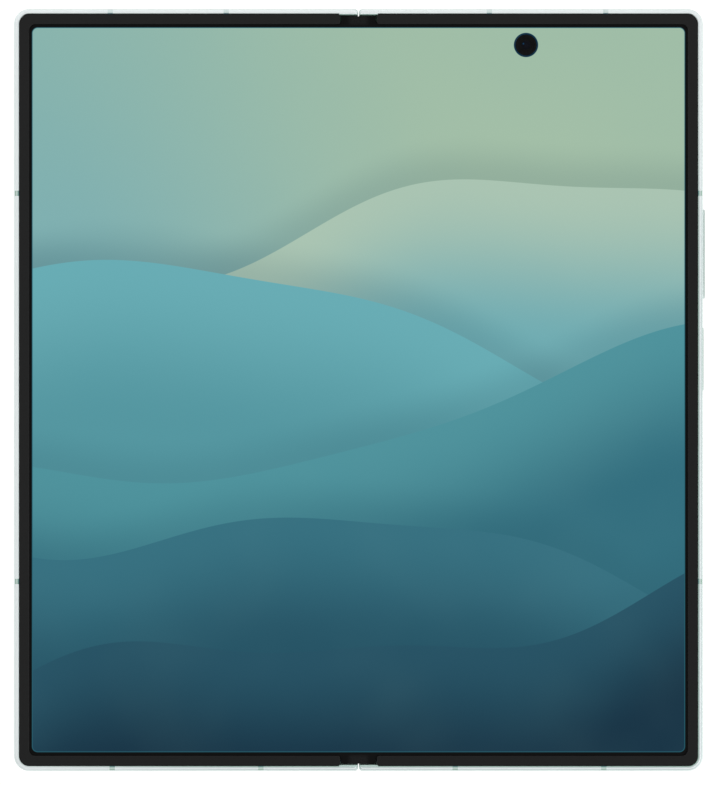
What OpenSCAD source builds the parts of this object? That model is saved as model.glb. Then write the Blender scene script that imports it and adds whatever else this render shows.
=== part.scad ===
// Book-style folding phone, lying open on its back, screen up.
// X runs across the fold, Y along the hinge, Z out of the inner screen.
// Heights called t are measured from the back plane of the two halves.

/* [Body] */
// Width of the open body across the fold
body_w = 143.2; // [138:0.2:148]
// Height of the body along the hinge
body_h = 158.4; // [154:0.2:164]
// Thickness of one half
body_t = 4.2; // [4.2:0.05:4.4]
// Outer corner radius of the frame, seen from above
corner_r = 3.1; // [2.4:0.1:5]
// How far the rear camera rings stand proud of the back
cam_h = 2.2; // [1.9:0.1:2.6]

/* [Frame and screen] */
// Visible width of the metal rim beside the screen border
rim_w = 1.04; // [0.9:0.02:1.3]
// Width of the raised black screen border
bezel_w = 2.1; // [1.6:0.1:2.4]
// Radius of the hole for the inner camera
punch_r = 2.47; // [2:0.01:2.8]
// Distance of the inner camera from the fold line
punch_x = 34.83; // [32:0.01:38]
// Distance of the inner camera above the middle of the body
punch_y = 71.74; // [69:0.01:72]
// Half width of the screen strip that bends
fold_w = 4.0; // [3.9:0.1:4.2]
// Width of an antenna line in the frame
band_w = 1.1; // [0.6:0.1:1.6]

/* [Hinge] */
// Distance of each fold axis from the fold line
axis_x = 1.175; // [1.15:0.005:1.2]
// Height of each fold axis above the back plane
axis_t = 3.275; // [3.25:0.005:3.3]
// Outer radius of the spine's side walls about the fold axes
spine_r = 2.6; // [2.5:0.01:2.62]
// Sheet thickness of the spine
spine_wall = 0.25; // [0.2:0.01:0.3]
// Distance of the two hinge modules from the middle
module_y = 50; // [46:1:54]
// Pitch radius of the four synchronising gears
gear_r = 0.735; // [0.735:0.001:0.74]

/* [Keys and tray] */
// Length of the volume rocker
vol_len = 18.6; // [16:0.1:20]
// Position of the volume rocker
vol_y = 28.3; // [28:0.1:30]
// Stand-out of the volume rocker
vol_out = 0.42; // [0.35:0.01:0.5]
// Length of the power key
pow_len = 13.2; // [11:0.1:14]
// Position of the power key
pow_y = 6.4; // [4:0.1:8]
// Stand-out of the power key
pow_out = 0.18; // [0.16:0.01:0.3]
// Distance of the card tray from the fold line
tray_x = 35.7; // [34:0.1:37]

/* [Hidden] */
$fn = 48;
HX = body_w/2;            // outer side of the frame
HY = body_h/2;
BX = HX - rim_w;          // outer side of the screen border
BY = HY - rim_w;
IX = BX - bezel_w;        // inner side of the screen border
IY = BY - bezel_w;
PX = HX - 2;              // inner face of the frame wall
PY = HY - 2;
GX = HX - 1;              // pocket of the back glass
GY = HY - 1;
fold_gap = 0.125;         // half the slit between the halves
t_glass = 0.5;
t_mid0 = 2.75;
t_mid1 = 3.15;
t_pan0 = 3.35;
t_pan1 = 3.9;
SY = PY - 0.3;            // half length of the spine
usb_x = 36;
usb_t = 1.9;
lens = [[45.5, 66], [45.5, 51.5], [59.5, 66]];
flash = [59.5, 52.5];

// Corner points of a rectangle with its own radius at each corner,
// in the order lower left, lower right, upper right, upper left.
function arc_pts(cx, cy, r, a0, a1, n) =
  [for (i = [0:n]) [cx + r*cos(a0 + (a1 - a0)*i/n), cy + r*sin(a0 + (a1 - a0)*i/n)]];
function corner(cx, cy, r, a0, x, y, n) =
  r < 0.01 ? [[x, y]] : arc_pts(cx, cy, r, a0, a0 + 90, n);
function rr(x0, y0, x1, y1, q, n = 7) = concat(
  corner(x0 + q[0], y0 + q[0], q[0], 180, x0, y0, n),
  corner(x1 - q[1], y0 + q[1], q[1], 270, x1, y0, n),
  corner(x1 - q[2], y1 - q[2], q[2], 0, x1, y1, n),
  corner(x0 + q[3], y1 - q[3], q[3], 90, x0, y1, n));

module slab(pts, t0, t1) translate([0, 0, cam_h + t0]) linear_extrude(t1 - t0) polygon(pts);
module bx(x0, y0, t0, x1, y1, t1) translate([x0, y0, cam_h + t0]) cube([x1 - x0, y1 - y0, t1 - t0]);
module zcyl(x, y, t0, t1, r, fn = 48) translate([x, y, cam_h + t0]) cylinder(h = t1 - t0, r = r, $fn = fn);
module ycyl(x, t, y0, y1, r, fn = 36) translate([x, y0, cam_h + t]) rotate([-90, 0, 0]) cylinder(h = y1 - y0, r = r, $fn = fn);
module xcyl(y, t, x0, x1, r, fn = 24) translate([x0, y, cam_h + t]) rotate([0, 90, 0]) cylinder(h = x1 - x0, r = r, $fn = fn);
// Outline in X and t, extruded along Y
module yext(pts, y0, y1) translate([0, y1, cam_h]) rotate([90, 0, 0]) linear_extrude(y1 - y0) polygon(pts);

// ---- one half's frame, drawn for the +X side ----
module half_frame() {
  difference() {
    union() {
      difference() {
        slab(rr(fold_gap, -HY, HX, HY, [0, corner_r, corner_r, 0]), 0, body_t);
        // bezel pocket
        slab(rr(3.75, -BY - 0.05, BX + 0.05, BY + 0.05, [0, 2.1, 2.1, 0]), t_pan1, body_t + 1);
        // hinge zone, where the rim is a little wider
        slab(rr(-1, -HY + 1.34, 3.8, HY - 1.34, [0, 0, 0, 0]), 2.2, body_t + 1);
        // inner pocket
        slab(rr(-1, -PY, PX, PY, [0, 1.1, 1.1, 0]), t_glass, t_pan1 + 0.01);
        // seat of the back glass
        slab(rr(5.1, -GY, GX, GY, [0.6, 2.1, 2.1, 0.6]), -1, t_glass + 0.01);
      }
      // wall, shelf and riser beside the spine
      bx(4.3, -PY - 0.2, 0.2, 5.1, PY + 0.2, 2.5);
      bx(4.3, -PY - 0.2, 2.1, 7.0, PY + 0.2, 2.5);
      bx(6.6, -PY - 0.2, 2.1, 7.0, PY + 0.2, t_mid1);
      // plate between the screen and the inner parts
      slab(rr(6.6, -PY - 0.2, PX + 0.2, PY + 0.2, [0, 0.9, 0.9, 0]), t_mid0, t_mid1);
      // pads that the hinge brackets are screwed to
      for (s = [-1, 1]) bx(4.3, s*module_y - 8, 1.5, 14.6, s*module_y + 8, 2.5);
      // floor of the channel for the synchronising arm
      bx(4.3, -6, 1.2, 14.6, 6, 1.7);
      bx(4.3, -6, 1.2, 5.1, 6, 2.0);
      for (s = [-1, 1]) bx(4.3, s*5.6 - 0.4, 1.2, 15.0, s*5.6 + 0.4, t_mid1);
      bx(14.2, -6, 1.2, 15.0, 6, t_mid1);
    }
    // arc on the end walls, so that the halves never cross the fold line
    for (s = [-1, 1]) translate([0, s*HY, 0]) difference() {
      bx(-1, -3, axis_t, axis_x, 3, 6);
      ycyl(axis_x, axis_t, -4, 4, 1.05);
    }
    // notches for the brackets
    for (s = [-1, 1]) {
      bx(4.0, s*module_y - 7.2, 2.5, 14.0, s*module_y + 7.2, t_mid1 + 0.1);
      for (x = [8.4, 12.2], d = [-4.2, 4.2])
        zcyl(x, s*module_y + d, 1.7, 3, 0.45, 24);
    }
    // channel for the synchronising arm
    bx(4.0, -5.2, 2.0, 14.2, 5.2, t_mid1 + 0.1);
    bx(5.1, -5.2, 1.7, 14.2, 5.2, t_mid1 + 0.1);
    // grooves and pin holes for the wing plates
    for (s = [-1, 1], e = [0, 1]) {
      y0 = s > 0 ? 9.2 : -40.8;
      ycyl(6.1, 2.98, y0 + (e ? 31.6 : -0.9), y0 + (e ? 32.5 : 0), 0.24, 24);
    }
  }
}
// lugs that carry the wing plate pins
module wing_lugs() {
  for (s = [-1, 1], e = [0, 1]) {
    y0 = s > 0 ? 9.2 : -40.8;
    difference() {
      bx(5.7, y0 + (e ? 31.6 : -0.5), 2.3, 6.7, y0 + (e ? 32.1 : 0), 3.3);
      ycyl(6.1, 2.98, y0 + (e ? 31 : -1), y0 + (e ? 33 : 0.6), 0.24, 24);
    }
  }
}
module bands_cut(tops, bottoms, side, grow = 0) {
  for (x = tops) bx(x - band_w/2 - grow, HY - 1.2, -0.1 - grow, x + band_w/2 + grow, HY + grow, body_t + 0.1 + grow);
  for (x = bottoms) bx(x - band_w/2 - grow, -HY - grow, -0.1 - grow, x + band_w/2 + grow, -HY + 1.2, body_t + 0.1 + grow);
  for (y = side) bx(HX - 1.2, y - band_w/2 - grow, -0.1 - grow, HX + grow, y + band_w/2 + grow, body_t + 0.1 + grow);
}
// the lines themselves: filled into the cuts, clear of the glass and the border
module bands(tops, bottoms, side) {
  difference() {
    intersection() {
      bands_cut(tops, bottoms, side);
      bx(0, -HY, 0, HX, HY, body_t);
    }
    slab(rr(3.75, -BY - 0.05, BX + 0.05, BY + 0.05, [0, 2.1, 2.1, 0]), t_pan1, body_t + 1);
    slab(rr(5.1, -GY, GX, GY, [0.6, 2.1, 2.1, 0.6]), -1, t_glass + 0.01);
  }
}
module bezel() {
  difference() {
    slab(rr(3.8, -BY, BX, BY, [0.5, 2.05, 2.05, 0.5]), t_pan1, body_t);
    slab(rr(3.0, -IY, IX, IY, [0, 1.2, 1.2, 0]), t_pan1 - 1, body_t + 1);
  }
}
module panel(x0) slab(rr(x0, -IY - 0.5, IX + 0.8, IY + 0.5, [0, 1.4, 1.4, 0]), t_pan0, t_pan1);
module plate() slab(rr(6.7, -IY - 0.5, IX + 0.8, IY + 0.5, [0, 1.4, 1.4, 0]), t_mid1, t_pan0);

tops_r = [27.2, 51.4];
bots_r = [20.1, 51.0];
tops_l = [27.5, 51.6];
bots_l = [20.3, 51.2];
sides = [40.9, -39.8];

// ---- right half ----
module usb_slot(g, t0, len0, len1) {
  // stadium opening of the port, seen from the bottom edge
  translate([usb_x, len0, cam_h + usb_t]) rotate([90, 0, 0]) linear_extrude(len0 - len1)
    polygon(rr(-g[0]/2, -g[1]/2, g[0]/2, g[1]/2, [g[2], g[2], g[2], g[2]], 8));
}
module key_slot(y, len) {
  bx(PX - 1, y - len/2 - 0.15, 1.1, HX + 1, y + len/2 + 0.15, 3.1);
}
module frame_right() color([0.80, 0.85, 0.84]) {
  difference() {
    union() { half_frame(); wing_lugs(); }
    bands_cut(tops_r, bots_r, sides);
    // port in the bottom edge
    usb_slot([9.04, 2.9, 1.44], 0, -PY + 8, -HY - 1);
    bx(usb_x - 4.8, -PY - 0.01, 0.45, usb_x + 4.8, -70.5, 3.3);
    // speaker openings and microphone holes
    for (i = [0:5]) ycyl(55.6 + 2*i, 2.1, -HY - 1, -PY + 1, 0.55, 24);
    ycyl(27, 2.1, -HY - 1, -PY + 1, 0.4, 20);
    ycyl(41, 2.1, PY - 1, HY + 1, 0.4, 20);
    // keys
    key_slot(vol_y, vol_len);
    key_slot(pow_y, pow_len);
    bx(67.2, -3, t_mid0 - 0.1, PX, 40, t_mid1 + 0.1);
    // inner camera
    zcyl(punch_x, punch_y, 2, 3.5, 2.6);
  }
}
module rear_glass() color([0.72, 0.77, 0.76]) difference() {
  slab(rr(5.15, -GY + 0.05, GX - 0.05, GY - 0.05, [0.55, 2.05, 2.05, 0.55]), 0, t_glass);
  slab(rr(37.95, 42.45, 67.05, 74.05, [8, 8, 8, 8], 10), -1, 1);
}
module bezel_right() color([0.13, 0.13, 0.13]) bezel();
module antenna_bands_right() color([0.62, 0.70, 0.66]) difference() {
  bands(tops_r, bots_r, sides);
}
module display_panel_right() color([0.14, 0.38, 0.45]) difference() {
  panel(fold_w);
  zcyl(punch_x, punch_y, 3, 5, punch_r);
}
module support_plate_right() color([0.55, 0.56, 0.57]) difference() {
  plate();
  zcyl(punch_x, punch_y, 3, 5, 2.6);
  bx(usb_x - 4.8, -80, 3, usb_x + 4.8, -70.5, 3.5);
}
module camera_island() color([0.74, 0.79, 0.78]) difference() {
  union() {
    slab(rr(38, 42.5, 67, 74, [8, 8, 8, 8], 10), -1.6, 0.5);
    slab(rr(36.8, 44.6, 68.4, 75.4, [6, 6, 6, 6], 10), 0.51, 0.54);
    slab(rr(39, 45, 66, 73, [6, 6, 6, 6], 6), 0.4, 0.54);
  }
  for (p = lens) {
    zcyl(p[0], p[1], -3, 1, 4.9);
    zcyl(p[0], p[1], -3, -0.4, 5.4);
  }
  zcyl(flash[0], flash[1], -3, 1, 2.4);
  zcyl(flash[0], flash[1] - 5.2, -3, 1, 0.4, 20);
}
module camera_rings() color([0.80, 0.83, 0.83]) for (p = lens) difference() {
  zcyl(p[0], p[1], -cam_h, -0.4, 5.38);
  zcyl(p[0], p[1], -cam_h - 1, 0, 4.4);
}
module camera_lenses() color([0.05, 0.06, 0.08]) for (p = lens)
  zcyl(p[0], p[1], -2.05, -1.5, 4.38);
module camera_modules() color([0.12, 0.12, 0.13]) for (p = lens) {
  zcyl(p[0], p[1], -1.4, 0.6, 4.3);
  bx(p[0] - 5.2, p[1] - 5.2, 0.55, p[0] + 5.2, p[1] + 5.2, 2.7);
}
module flash_led() color([0.95, 0.93, 0.80]) zcyl(flash[0], flash[1], -1.55, 0.45, 2.38);
module inner_camera() color([0.07, 0.07, 0.08]) {
  zcyl(punch_x, punch_y, 2.5, 3.86, 2.2);
  bx(punch_x - 3.4, punch_y - 3.4, 0.7, punch_x + 3.4, punch_y + 3.4, 2.7);
}
module main_board() color([0.10, 0.30, 0.22]) difference() {
  union() {
    slab(rr(15.2, 37, 39.4, 76.4, [0.8, 0.8, 0.8, 0.8]), 1.5, 2.0);
    slab(rr(15.2, 37, 66.5, 44.0, [0.8, 0.8, 0.8, 0.8]), 1.5, 2.0);
    bx(16, 46, 0.8, 28, 64, 2.65);
    bx(16, 38.4, 2.0, 36, 44, 2.6);
    bx(29.4, 47, 0.9, 37.5, 58, 2.4);
    bx(42, 38.2, 0.9, 62, 43, 2.5);
    for (i = [0:4]) bx(16, 66 + 2*i, 1.9, 20, 67.2 + 2*i, 2.5);
  }
  bx(punch_x - 3.8, punch_y - 3.8, 0, punch_x + 3.8, 80, 3);
}
module battery_right() color([0.16, 0.17, 0.18]) slab(rr(16.5, -42, 66, 34.5, [1.2, 1.2, 1.2, 1.2]), 0.75, 2.7);
module wireless_coil() color([0.72, 0.42, 0.22]) difference() {
  zcyl(41, -4, 0.52, 0.72, 22);
  for (i = [0:4]) difference() { zcyl(41, -4, 0.58, 1, 21.4 - 2*i); zcyl(41, -4, 0, 2, 20.9 - 2*i); }
  zcyl(41, -4, 0, 1, 11.5);
}
module usb_port() color([0.70, 0.72, 0.73]) {
  difference() {
    usb_slot([8.94, 2.8, 1.38], 0, -71.2, -HY + 0.3);
    usb_slot([8.34, 2.56, 1.26], 0, -72.0, -HY - 1);
  }
  bx(usb_x - 3.3, -HY + 1.2, usb_t - 0.32, usb_x + 3.3, -71.6, usb_t + 0.32);
}
module usb_sub_board() color([0.10, 0.30, 0.22]) difference() {
  union() {
    slab(rr(22, -70.2, 47, -45, [0.8, 0.8, 0.8, 0.8]), 1.5, 2.0);
    bx(25, -60, 0.8, 33, -48, 1.6);
    bx(36, -62, 1.9, 44, -50, 2.65);
  }
  zcyl(45, -47.2, 0, 3, 0.6, 20);
  zcyl(24, -68, 0, 3, 0.6, 20);
}
module bottom_speaker() color([0.15, 0.15, 0.16]) difference() {
  slab(rr(49, -76.6, 67, -58, [1.5, 1.5, 1.5, 1.5]), 0.7, 2.68);
  slab(rr(51, -72, 65, -60, [2, 2, 2, 2]), 0.2, 0.95);
  for (i = [0:5]) ycyl(55.6 + 2*i, 2.1, -78, -74, 0.5, 24);
}
module vibration_motor() color([0.72, 0.73, 0.74]) slab(rr(9, -76, 19.5, -62, [1, 1, 1, 1]), 0.8, 2.68);
module key_cap(y, len, out, gap) {
  slab(rr(PX - gap - 0.1, y - len/2, HX + out, y + len/2, [0, 0.3, 0.3, 0], 4), 1.2, 3.0);
  bx(PX - gap - 0.45, y - len/2 - 0.6, 1.0, PX - gap, y + len/2 + 0.6, 2.9);
}
module power_key() color([0.84, 0.88, 0.87]) key_cap(pow_y, pow_len, pow_out, 0.1);
module volume_rocker() color([0.84, 0.88, 0.87]) key_cap(vol_y, vol_len, vol_out, 0.24);
module key_switches() color([0.60, 0.45, 0.20]) {
  bx(67.35, -2.4, 0.9, 67.75, 39.4, 2.6);
  for (y = [vol_y - 6, vol_y + 6, pow_y]) xcyl(y, 1.9, 67.7, PX - (y == pow_y ? 0.9 : 1.0), 0.6);
}
// arc rails about the fold axis, with the arm that leaves over the spine wall
module rail(y0, y1, r0, r1) {
  intersection() {
    difference() { ycyl(axis_x, axis_t, y0, y1, r1, 60); ycyl(axis_x, axis_t, y0 - 1, y1 + 1, r0, 60); }
    yext([[axis_x, axis_t], [axis_x - 3.464, axis_t - 2], [axis_x - 3.464, -2], [8, -2], [8, axis_t - 1.2]], y0, y1);
  }
}
module bracket(s, d) {
  y0 = s*module_y + (d > 0 ? 0.7 : -5.9);
  difference() {
    union() {
      rail(y0, y0 + 5.2, 1.35, 1.95);
      bx(axis_x + 1.25, y0, 2.62, 4.6, y0 + 5.2, 3.03);
      bx(4.1, s*module_y - 7, 2.52, 13.8, s*module_y + 7, 3.03);
    }
    ycyl(axis_x, axis_t, y0 - 1, y0 + 6, 1.35, 60);
    for (x = [8.4, 12.2], e = [-4.2, 4.2]) {
      zcyl(x, s*module_y + e, 2, 4, 0.5, 24);
      zcyl(x, s*module_y + e, 2.76, 4, 0.95, 24);
    }
  }
}
module hinge_bracket_right() color([0.66, 0.67, 0.68]) for (s = [-1, 1]) bracket(s, 1);
module bracket_screws() for (s = [-1, 1], x = [8.4, 12.2], e = [-4.2, 4.2]) difference() {
  union() { zcyl(x, s*module_y + e, 1.75, 2.8, 0.43, 24); zcyl(x, s*module_y + e, 2.77, 3.02, 0.9, 24); }
  translate([x - 0.45, s*module_y + e - 0.09, cam_h + 2.9]) cube([0.9, 0.18, 1]);
  translate([x - 0.09, s*module_y + e - 0.45, cam_h + 2.9]) cube([0.18, 0.9, 1]);
}
module bracket_screws_right() color([0.35, 0.36, 0.38]) bracket_screws();
module magnets(t0) for (y = [-30, -52]) bx(67.1, y, t0, 69.2, y + 12, 2.7);
module closing_magnets_right() color([0.50, 0.51, 0.53]) magnets(0.8);

// ---- left half ----
module tray_hole(g) bx(tray_x - 8 - g, -HY - 1, 1.25 - g, tray_x + 8 + g, -PY + 1, 2.55 + g);
module frame_left() color([0.80, 0.85, 0.84]) mirror([1, 0, 0]) difference() {
  union() { half_frame(); wing_lugs(); }
  bands_cut(tops_l, bots_l, sides);
  tray_hole(0.05);
  for (i = [0:4]) ycyl(54.4 + 2*i, 2.1, PY - 1, HY + 1, 0.5, 24);
  ycyl(15, 2.1, -HY - 1, -PY + 1, 0.4, 20);
}
module cover_glass() color([0.05, 0.05, 0.06]) mirror([1, 0, 0])
  slab(rr(5.15, -GY + 0.05, GX - 0.05, GY - 0.05, [0.55, 2.05, 2.05, 0.55]), 0, t_glass);
module cover_display_panel() color([0.10, 0.20, 0.24]) mirror([1, 0, 0]) difference() {
  slab(rr(7.4, -PY + 0.8, PX - 0.6, PY - 0.8, [1.6, 1.6, 1.6, 1.6]), t_glass + 0.02, 1.1);
  zcyl(37, 71.7, 0, 2, 2.0);
}
module bezel_left() color([0.13, 0.13, 0.13]) mirror([1, 0, 0]) bezel();
module antenna_bands_left() color([0.62, 0.70, 0.66]) mirror([1, 0, 0]) bands(tops_l, bots_l, sides);
module display_panel_left() color([0.50, 0.69, 0.69]) mirror([1, 0, 0]) panel(fold_w);
module support_plate_left() color([0.55, 0.56, 0.57]) mirror([1, 0, 0]) plate();
module battery_left() color([0.16, 0.17, 0.18]) mirror([1, 0, 0]) slab(rr(16.5, -50, 66, 45, [1.2, 1.2, 1.2, 1.2]), 1.15, 2.7);
module sub_board_left() color([0.10, 0.30, 0.22]) mirror([1, 0, 0]) union() {
  slab(rr(15.2, 48.5, 43, 66.5, [0.8, 0.8, 0.8, 0.8]), 1.6, 2.1);
  bx(16.5, 50, 1.2, 28, 58, 2.65);
  bx(31, 52, 2.0, 40, 62, 2.6);
}
module top_speaker() color([0.15, 0.15, 0.16]) mirror([1, 0, 0]) difference() {
  slab(rr(46, 60, 66, 76.4, [1.5, 1.5, 1.5, 1.5]), 1.2, 2.68);
  for (i = [0:4]) ycyl(54.4 + 2*i, 2.1, 74, 78, 0.5, 24);
}
module cover_camera() color([0.07, 0.07, 0.08]) mirror([1, 0, 0]) {
  zcyl(37, 71.7, 0.52, 1.6, 1.8);
  bx(34, 68.9, 1.2, 40, 74.9, 2.7);
}
module sim_tray() color([0.80, 0.85, 0.84]) mirror([1, 0, 0]) difference() {
  union() {
    slab(rr(tray_x - 8, -HY, tray_x + 8, -HY + 1.6, [0, 0, 0, 0]), 1.25, 2.55);
    slab(rr(tray_x - 7.3, -HY + 1.5, tray_x + 7.3, -56.5, [0, 0, 1.2, 1.2]), 1.5, 2.3);
  }
  slab(rr(tray_x - 6.2, -74.5, tray_x + 6.2, -58.2, [0.6, 0.6, 0.6, 2.2]), 1.75, 3);
  slab(rr(tray_x - 5, -73.3, tray_x + 5, -59.6, [0.6, 0.6, 0.6, 0.6]), 1, 3);
  // eject hole
  ycyl(tray_x + 6.9, 1.9, -HY - 1, -HY + 1.55, 0.3, 20);
}
module sim_reader() color([0.68, 0.69, 0.70]) mirror([1, 0, 0]) difference() {
  bx(tray_x - 8.4, -76.6, 1.15, tray_x + 8.4, -54.6, 2.7);
  bx(tray_x - 7.4, -77, 1.4, tray_x + 7.4, -55.4, 2.4);
}
module hinge_bracket_left() color([0.66, 0.67, 0.68]) mirror([1, 0, 0]) for (s = [-1, 1]) bracket(s, -1);
module bracket_screws_left() color([0.35, 0.36, 0.38]) mirror([1, 0, 0]) bracket_screws();
module closing_magnets_left() color([0.50, 0.51, 0.53]) mirror([1, 0, 0]) magnets(1.2);

// ---- spine ----
// half outline of the trough at radius r, from the middle to height t1
function wall_angle(r, t1) = asin((t1 - axis_t)/r);
function trough(r, t1, n) = concat(
  arc_pts(axis_x, axis_t, r, -90, wall_angle(r, t1), n),
  arc_pts(-axis_x, axis_t, r, 180 - wall_angle(r, t1), 270, n));
module hinge_housing() color([0.66, 0.72, 0.72]) difference() {
  yext(trough(spine_r, 2.5, 14), -SY, SY);
  yext(trough(spine_r - spine_wall, 2.6, 14), -SY + 1.2, SY - 1.2);
}
module block_body(y0, y1) yext(trough(spine_r - spine_wall - 0.02, 2.9, 12), y0, y1);
module hinge_blocks() color([0.55, 0.56, 0.58]) {
  for (s = [-1, 1]) difference() {
    block_body(s*module_y - 7, s*module_y + 7);
    // grooves for the rails, and the way out for the arms
    for (d = [1, -1]) {
      y0 = s*module_y + (d > 0 ? 0.6 : -6.0);
      difference() {
        ycyl(d*axis_x, axis_t, y0, y0 + 5.4, 2.0, 60);
        ycyl(d*axis_x, axis_t, y0 - 1, y0 + 6.4, 1.3, 60);
      }
      if (d > 0) bx(axis_x + 1.2, y0, 2.5, 5, y0 + 5.4, 4);
      else bx(-5, y0, 2.5, -axis_x - 1.2, y0 + 5.4, 4);
    }
  }
  // bearing plates of the gears
  for (y = [-6.3, 4.7]) difference() {
    block_body(y, y + 1.6);
    for (x = [-3*gear_r, -gear_r, gear_r, 3*gear_r]) ycyl(x, gear_t, y - 1, y + 3, 0.26, 24);
  }
}
module hinge_end_caps() color([0.72, 0.78, 0.78]) for (s = [-1, 1])
  yext(concat(arc_pts(axis_x, axis_t, spine_r - 0.03, wall_angle(spine_r, 2.5) + 1, -1, 4),
       [[axis_x, 3.2], [-axis_x, 3.2]],
       arc_pts(-axis_x, axis_t, spine_r - 0.03, 181, 179 - wall_angle(spine_r, 2.5), 4)),
       s > 0 ? SY - 1.2 : -SY, s > 0 ? SY : -SY + 1.2);
module fold_cover_plate() color([0.62, 0.63, 0.64]) {
  // in two lengths, so that the gears and arms turn freely between them
  for (s = [-1, 1]) bx(-1.6, s > 0 ? 4.7 : -SY + 1.3, 2.96, 1.6, s > 0 ? SY - 1.3 : -4.7, 3.1);
  for (y = [-70, -30, 30, 70]) bx(-1.2, y - 1.5, 0.95, 1.2, y + 1.5, 2.97);
}
module display_fold_zone() color([0.30, 0.50, 0.56])
{
  bx(-fold_w + 0.02, -IY - 0.5, t_pan0, fold_w - 0.02, IY + 0.5, t_pan1);
  // black film that closes the hinge's ends
  bx(-3.6, -HY + 1.44, t_pan0, 3.6, HY - 1.44, t_pan1 - 0.1);
}
module hinge_flex_cable() color([0.62, 0.36, 0.12]) for (y = [64, -64])
  yext([[-3.7, 2.62], [-3.05, 2.62], [-2.2, 1.3], [2.2, 1.3], [3.05, 2.62], [3.7, 2.62],
        [3.7, 2.74], [2.95, 2.74], [2.1, 1.42], [-2.1, 1.42], [-2.95, 2.74], [-3.7, 2.74]],
       y - 3, y + 3);

// ---- synchronising gears ----
gear_t = 2.245;
gear_n = 12;
function tooth(i, ph) = let (a = ph + i*360/gear_n) [
  [0.585*cos(a - 9.5), 0.585*sin(a - 9.5)], [0.845*cos(a - 3.4), 0.845*sin(a - 3.4)],
  [0.845*cos(a + 3.4), 0.845*sin(a + 3.4)], [0.585*cos(a + 9.5), 0.585*sin(a + 9.5)]];
module gear(x, ph, y0, y1) translate([x, y1, cam_h + gear_t]) rotate([90, 0, 0])
  linear_extrude(y1 - y0) polygon([for (i = [0:gear_n - 1]) each tooth(i, ph)]);
module idler(x, ph) difference() { gear(x, ph, -1, 1); ycyl(x, gear_t, -2, 2, 0.29, 24); }
module arm(ph, y0, y1) difference() {
  union() {
    gear(3*gear_r, ph, -1, 1);
    ycyl(3*gear_r, gear_t, -1, 4, 0.57, 36);
    bx(3*gear_r, y0, 2.58, 12, y1, 2.92);
    bx(9, -4.8, 2.58, 12, 4.8, 2.92);
  }
  ycyl(3*gear_r, gear_t, -2, 5, 0.29, 24);
}
module sync_arm_right() color([0.60, 0.62, 0.64]) arm(15, 1.3, 4);
module sync_arm_left() color([0.60, 0.62, 0.64]) rotate([0, 0, 180]) arm(0, 1.3, 4);
module idler_gear_right() color([0.75, 0.70, 0.45]) idler(gear_r, 0);
module idler_gear_left() color([0.75, 0.70, 0.45]) idler(-gear_r, 15);
module gear_shafts() color([0.82, 0.83, 0.84]) for (x = [-3*gear_r, -gear_r, gear_r, 3*gear_r])
  ycyl(x, gear_t, -6.2, 6.2, 0.25, 24);

// ---- wing plates under the bending strip ----
module wing() for (s = [-1, 1]) {
  y0 = s > 0 ? 9.2 : -40.8;
  bx(2.2, y0 + 0.1, 3.12, 6.15, y0 + 31.5, 3.27);
  ycyl(6.1, 2.98, y0 + 0.1, y0 + 31.5, 0.27, 24);
  ycyl(6.1, 2.98, y0 - 0.45, y0 + 32.05, 0.2, 24);
}
module wing_plate_right() color([0.58, 0.59, 0.60]) wing();
module wing_plate_left() color([0.58, 0.59, 0.60]) mirror([1, 0, 0]) wing();

frame_right();
rear_glass();
bezel_right();
antenna_bands_right();
display_panel_right();
support_plate_right();
camera_island();
camera_rings();
camera_lenses();
camera_modules();
flash_led();
inner_camera();
main_board();
battery_right();
wireless_coil();
usb_port();
usb_sub_board();
bottom_speaker();
vibration_motor();
power_key();
volume_rocker();
key_switches();
hinge_bracket_right();
bracket_screws_right();
closing_magnets_right();
frame_left();
cover_glass();
cover_display_panel();
bezel_left();
antenna_bands_left();
display_panel_left();
support_plate_left();
battery_left();
sub_board_left();
top_speaker();
cover_camera();
sim_tray();
sim_reader();
hinge_bracket_left();
bracket_screws_left();
closing_magnets_left();
hinge_housing();
hinge_blocks();
hinge_end_caps();
fold_cover_plate();
display_fold_zone();
gear_shafts();
hinge_flex_cable();
sync_arm_right();
sync_arm_left();
idler_gear_right();
idler_gear_left();
wing_plate_right();
wing_plate_left();
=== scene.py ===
"""Visual model of a book-style folding phone, open, inner screen up."""
import math
import bpy
import bmesh
from mathutils import Matrix, Vector
from mathutils.geometry import tessellate_polygon


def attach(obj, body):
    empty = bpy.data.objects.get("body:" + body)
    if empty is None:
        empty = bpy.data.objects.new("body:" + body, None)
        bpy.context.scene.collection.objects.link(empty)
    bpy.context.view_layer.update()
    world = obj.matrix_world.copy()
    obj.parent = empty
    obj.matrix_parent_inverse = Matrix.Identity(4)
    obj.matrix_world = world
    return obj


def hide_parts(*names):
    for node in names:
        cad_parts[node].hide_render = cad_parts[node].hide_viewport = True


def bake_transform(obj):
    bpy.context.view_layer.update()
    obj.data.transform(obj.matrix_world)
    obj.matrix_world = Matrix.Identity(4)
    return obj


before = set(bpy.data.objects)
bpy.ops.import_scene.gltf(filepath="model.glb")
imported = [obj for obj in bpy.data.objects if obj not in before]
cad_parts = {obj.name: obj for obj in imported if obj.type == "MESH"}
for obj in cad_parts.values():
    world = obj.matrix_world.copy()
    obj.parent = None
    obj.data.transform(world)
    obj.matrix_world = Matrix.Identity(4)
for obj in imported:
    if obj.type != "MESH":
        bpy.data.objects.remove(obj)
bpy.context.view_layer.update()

MM = 0.001
CAM_H = 2.2                       # back plane of the halves above the lowest point
HX, HY = 71.6, 79.2
BX, BY = 70.56, 78.16
IX, IY = 68.46, 76.06
PX, PY = 69.6, 77.2
T = 4.2
AX, AT = 1.175, 3.275             # fold axes

# ------------------------------------------------------------------ helpers


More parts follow.
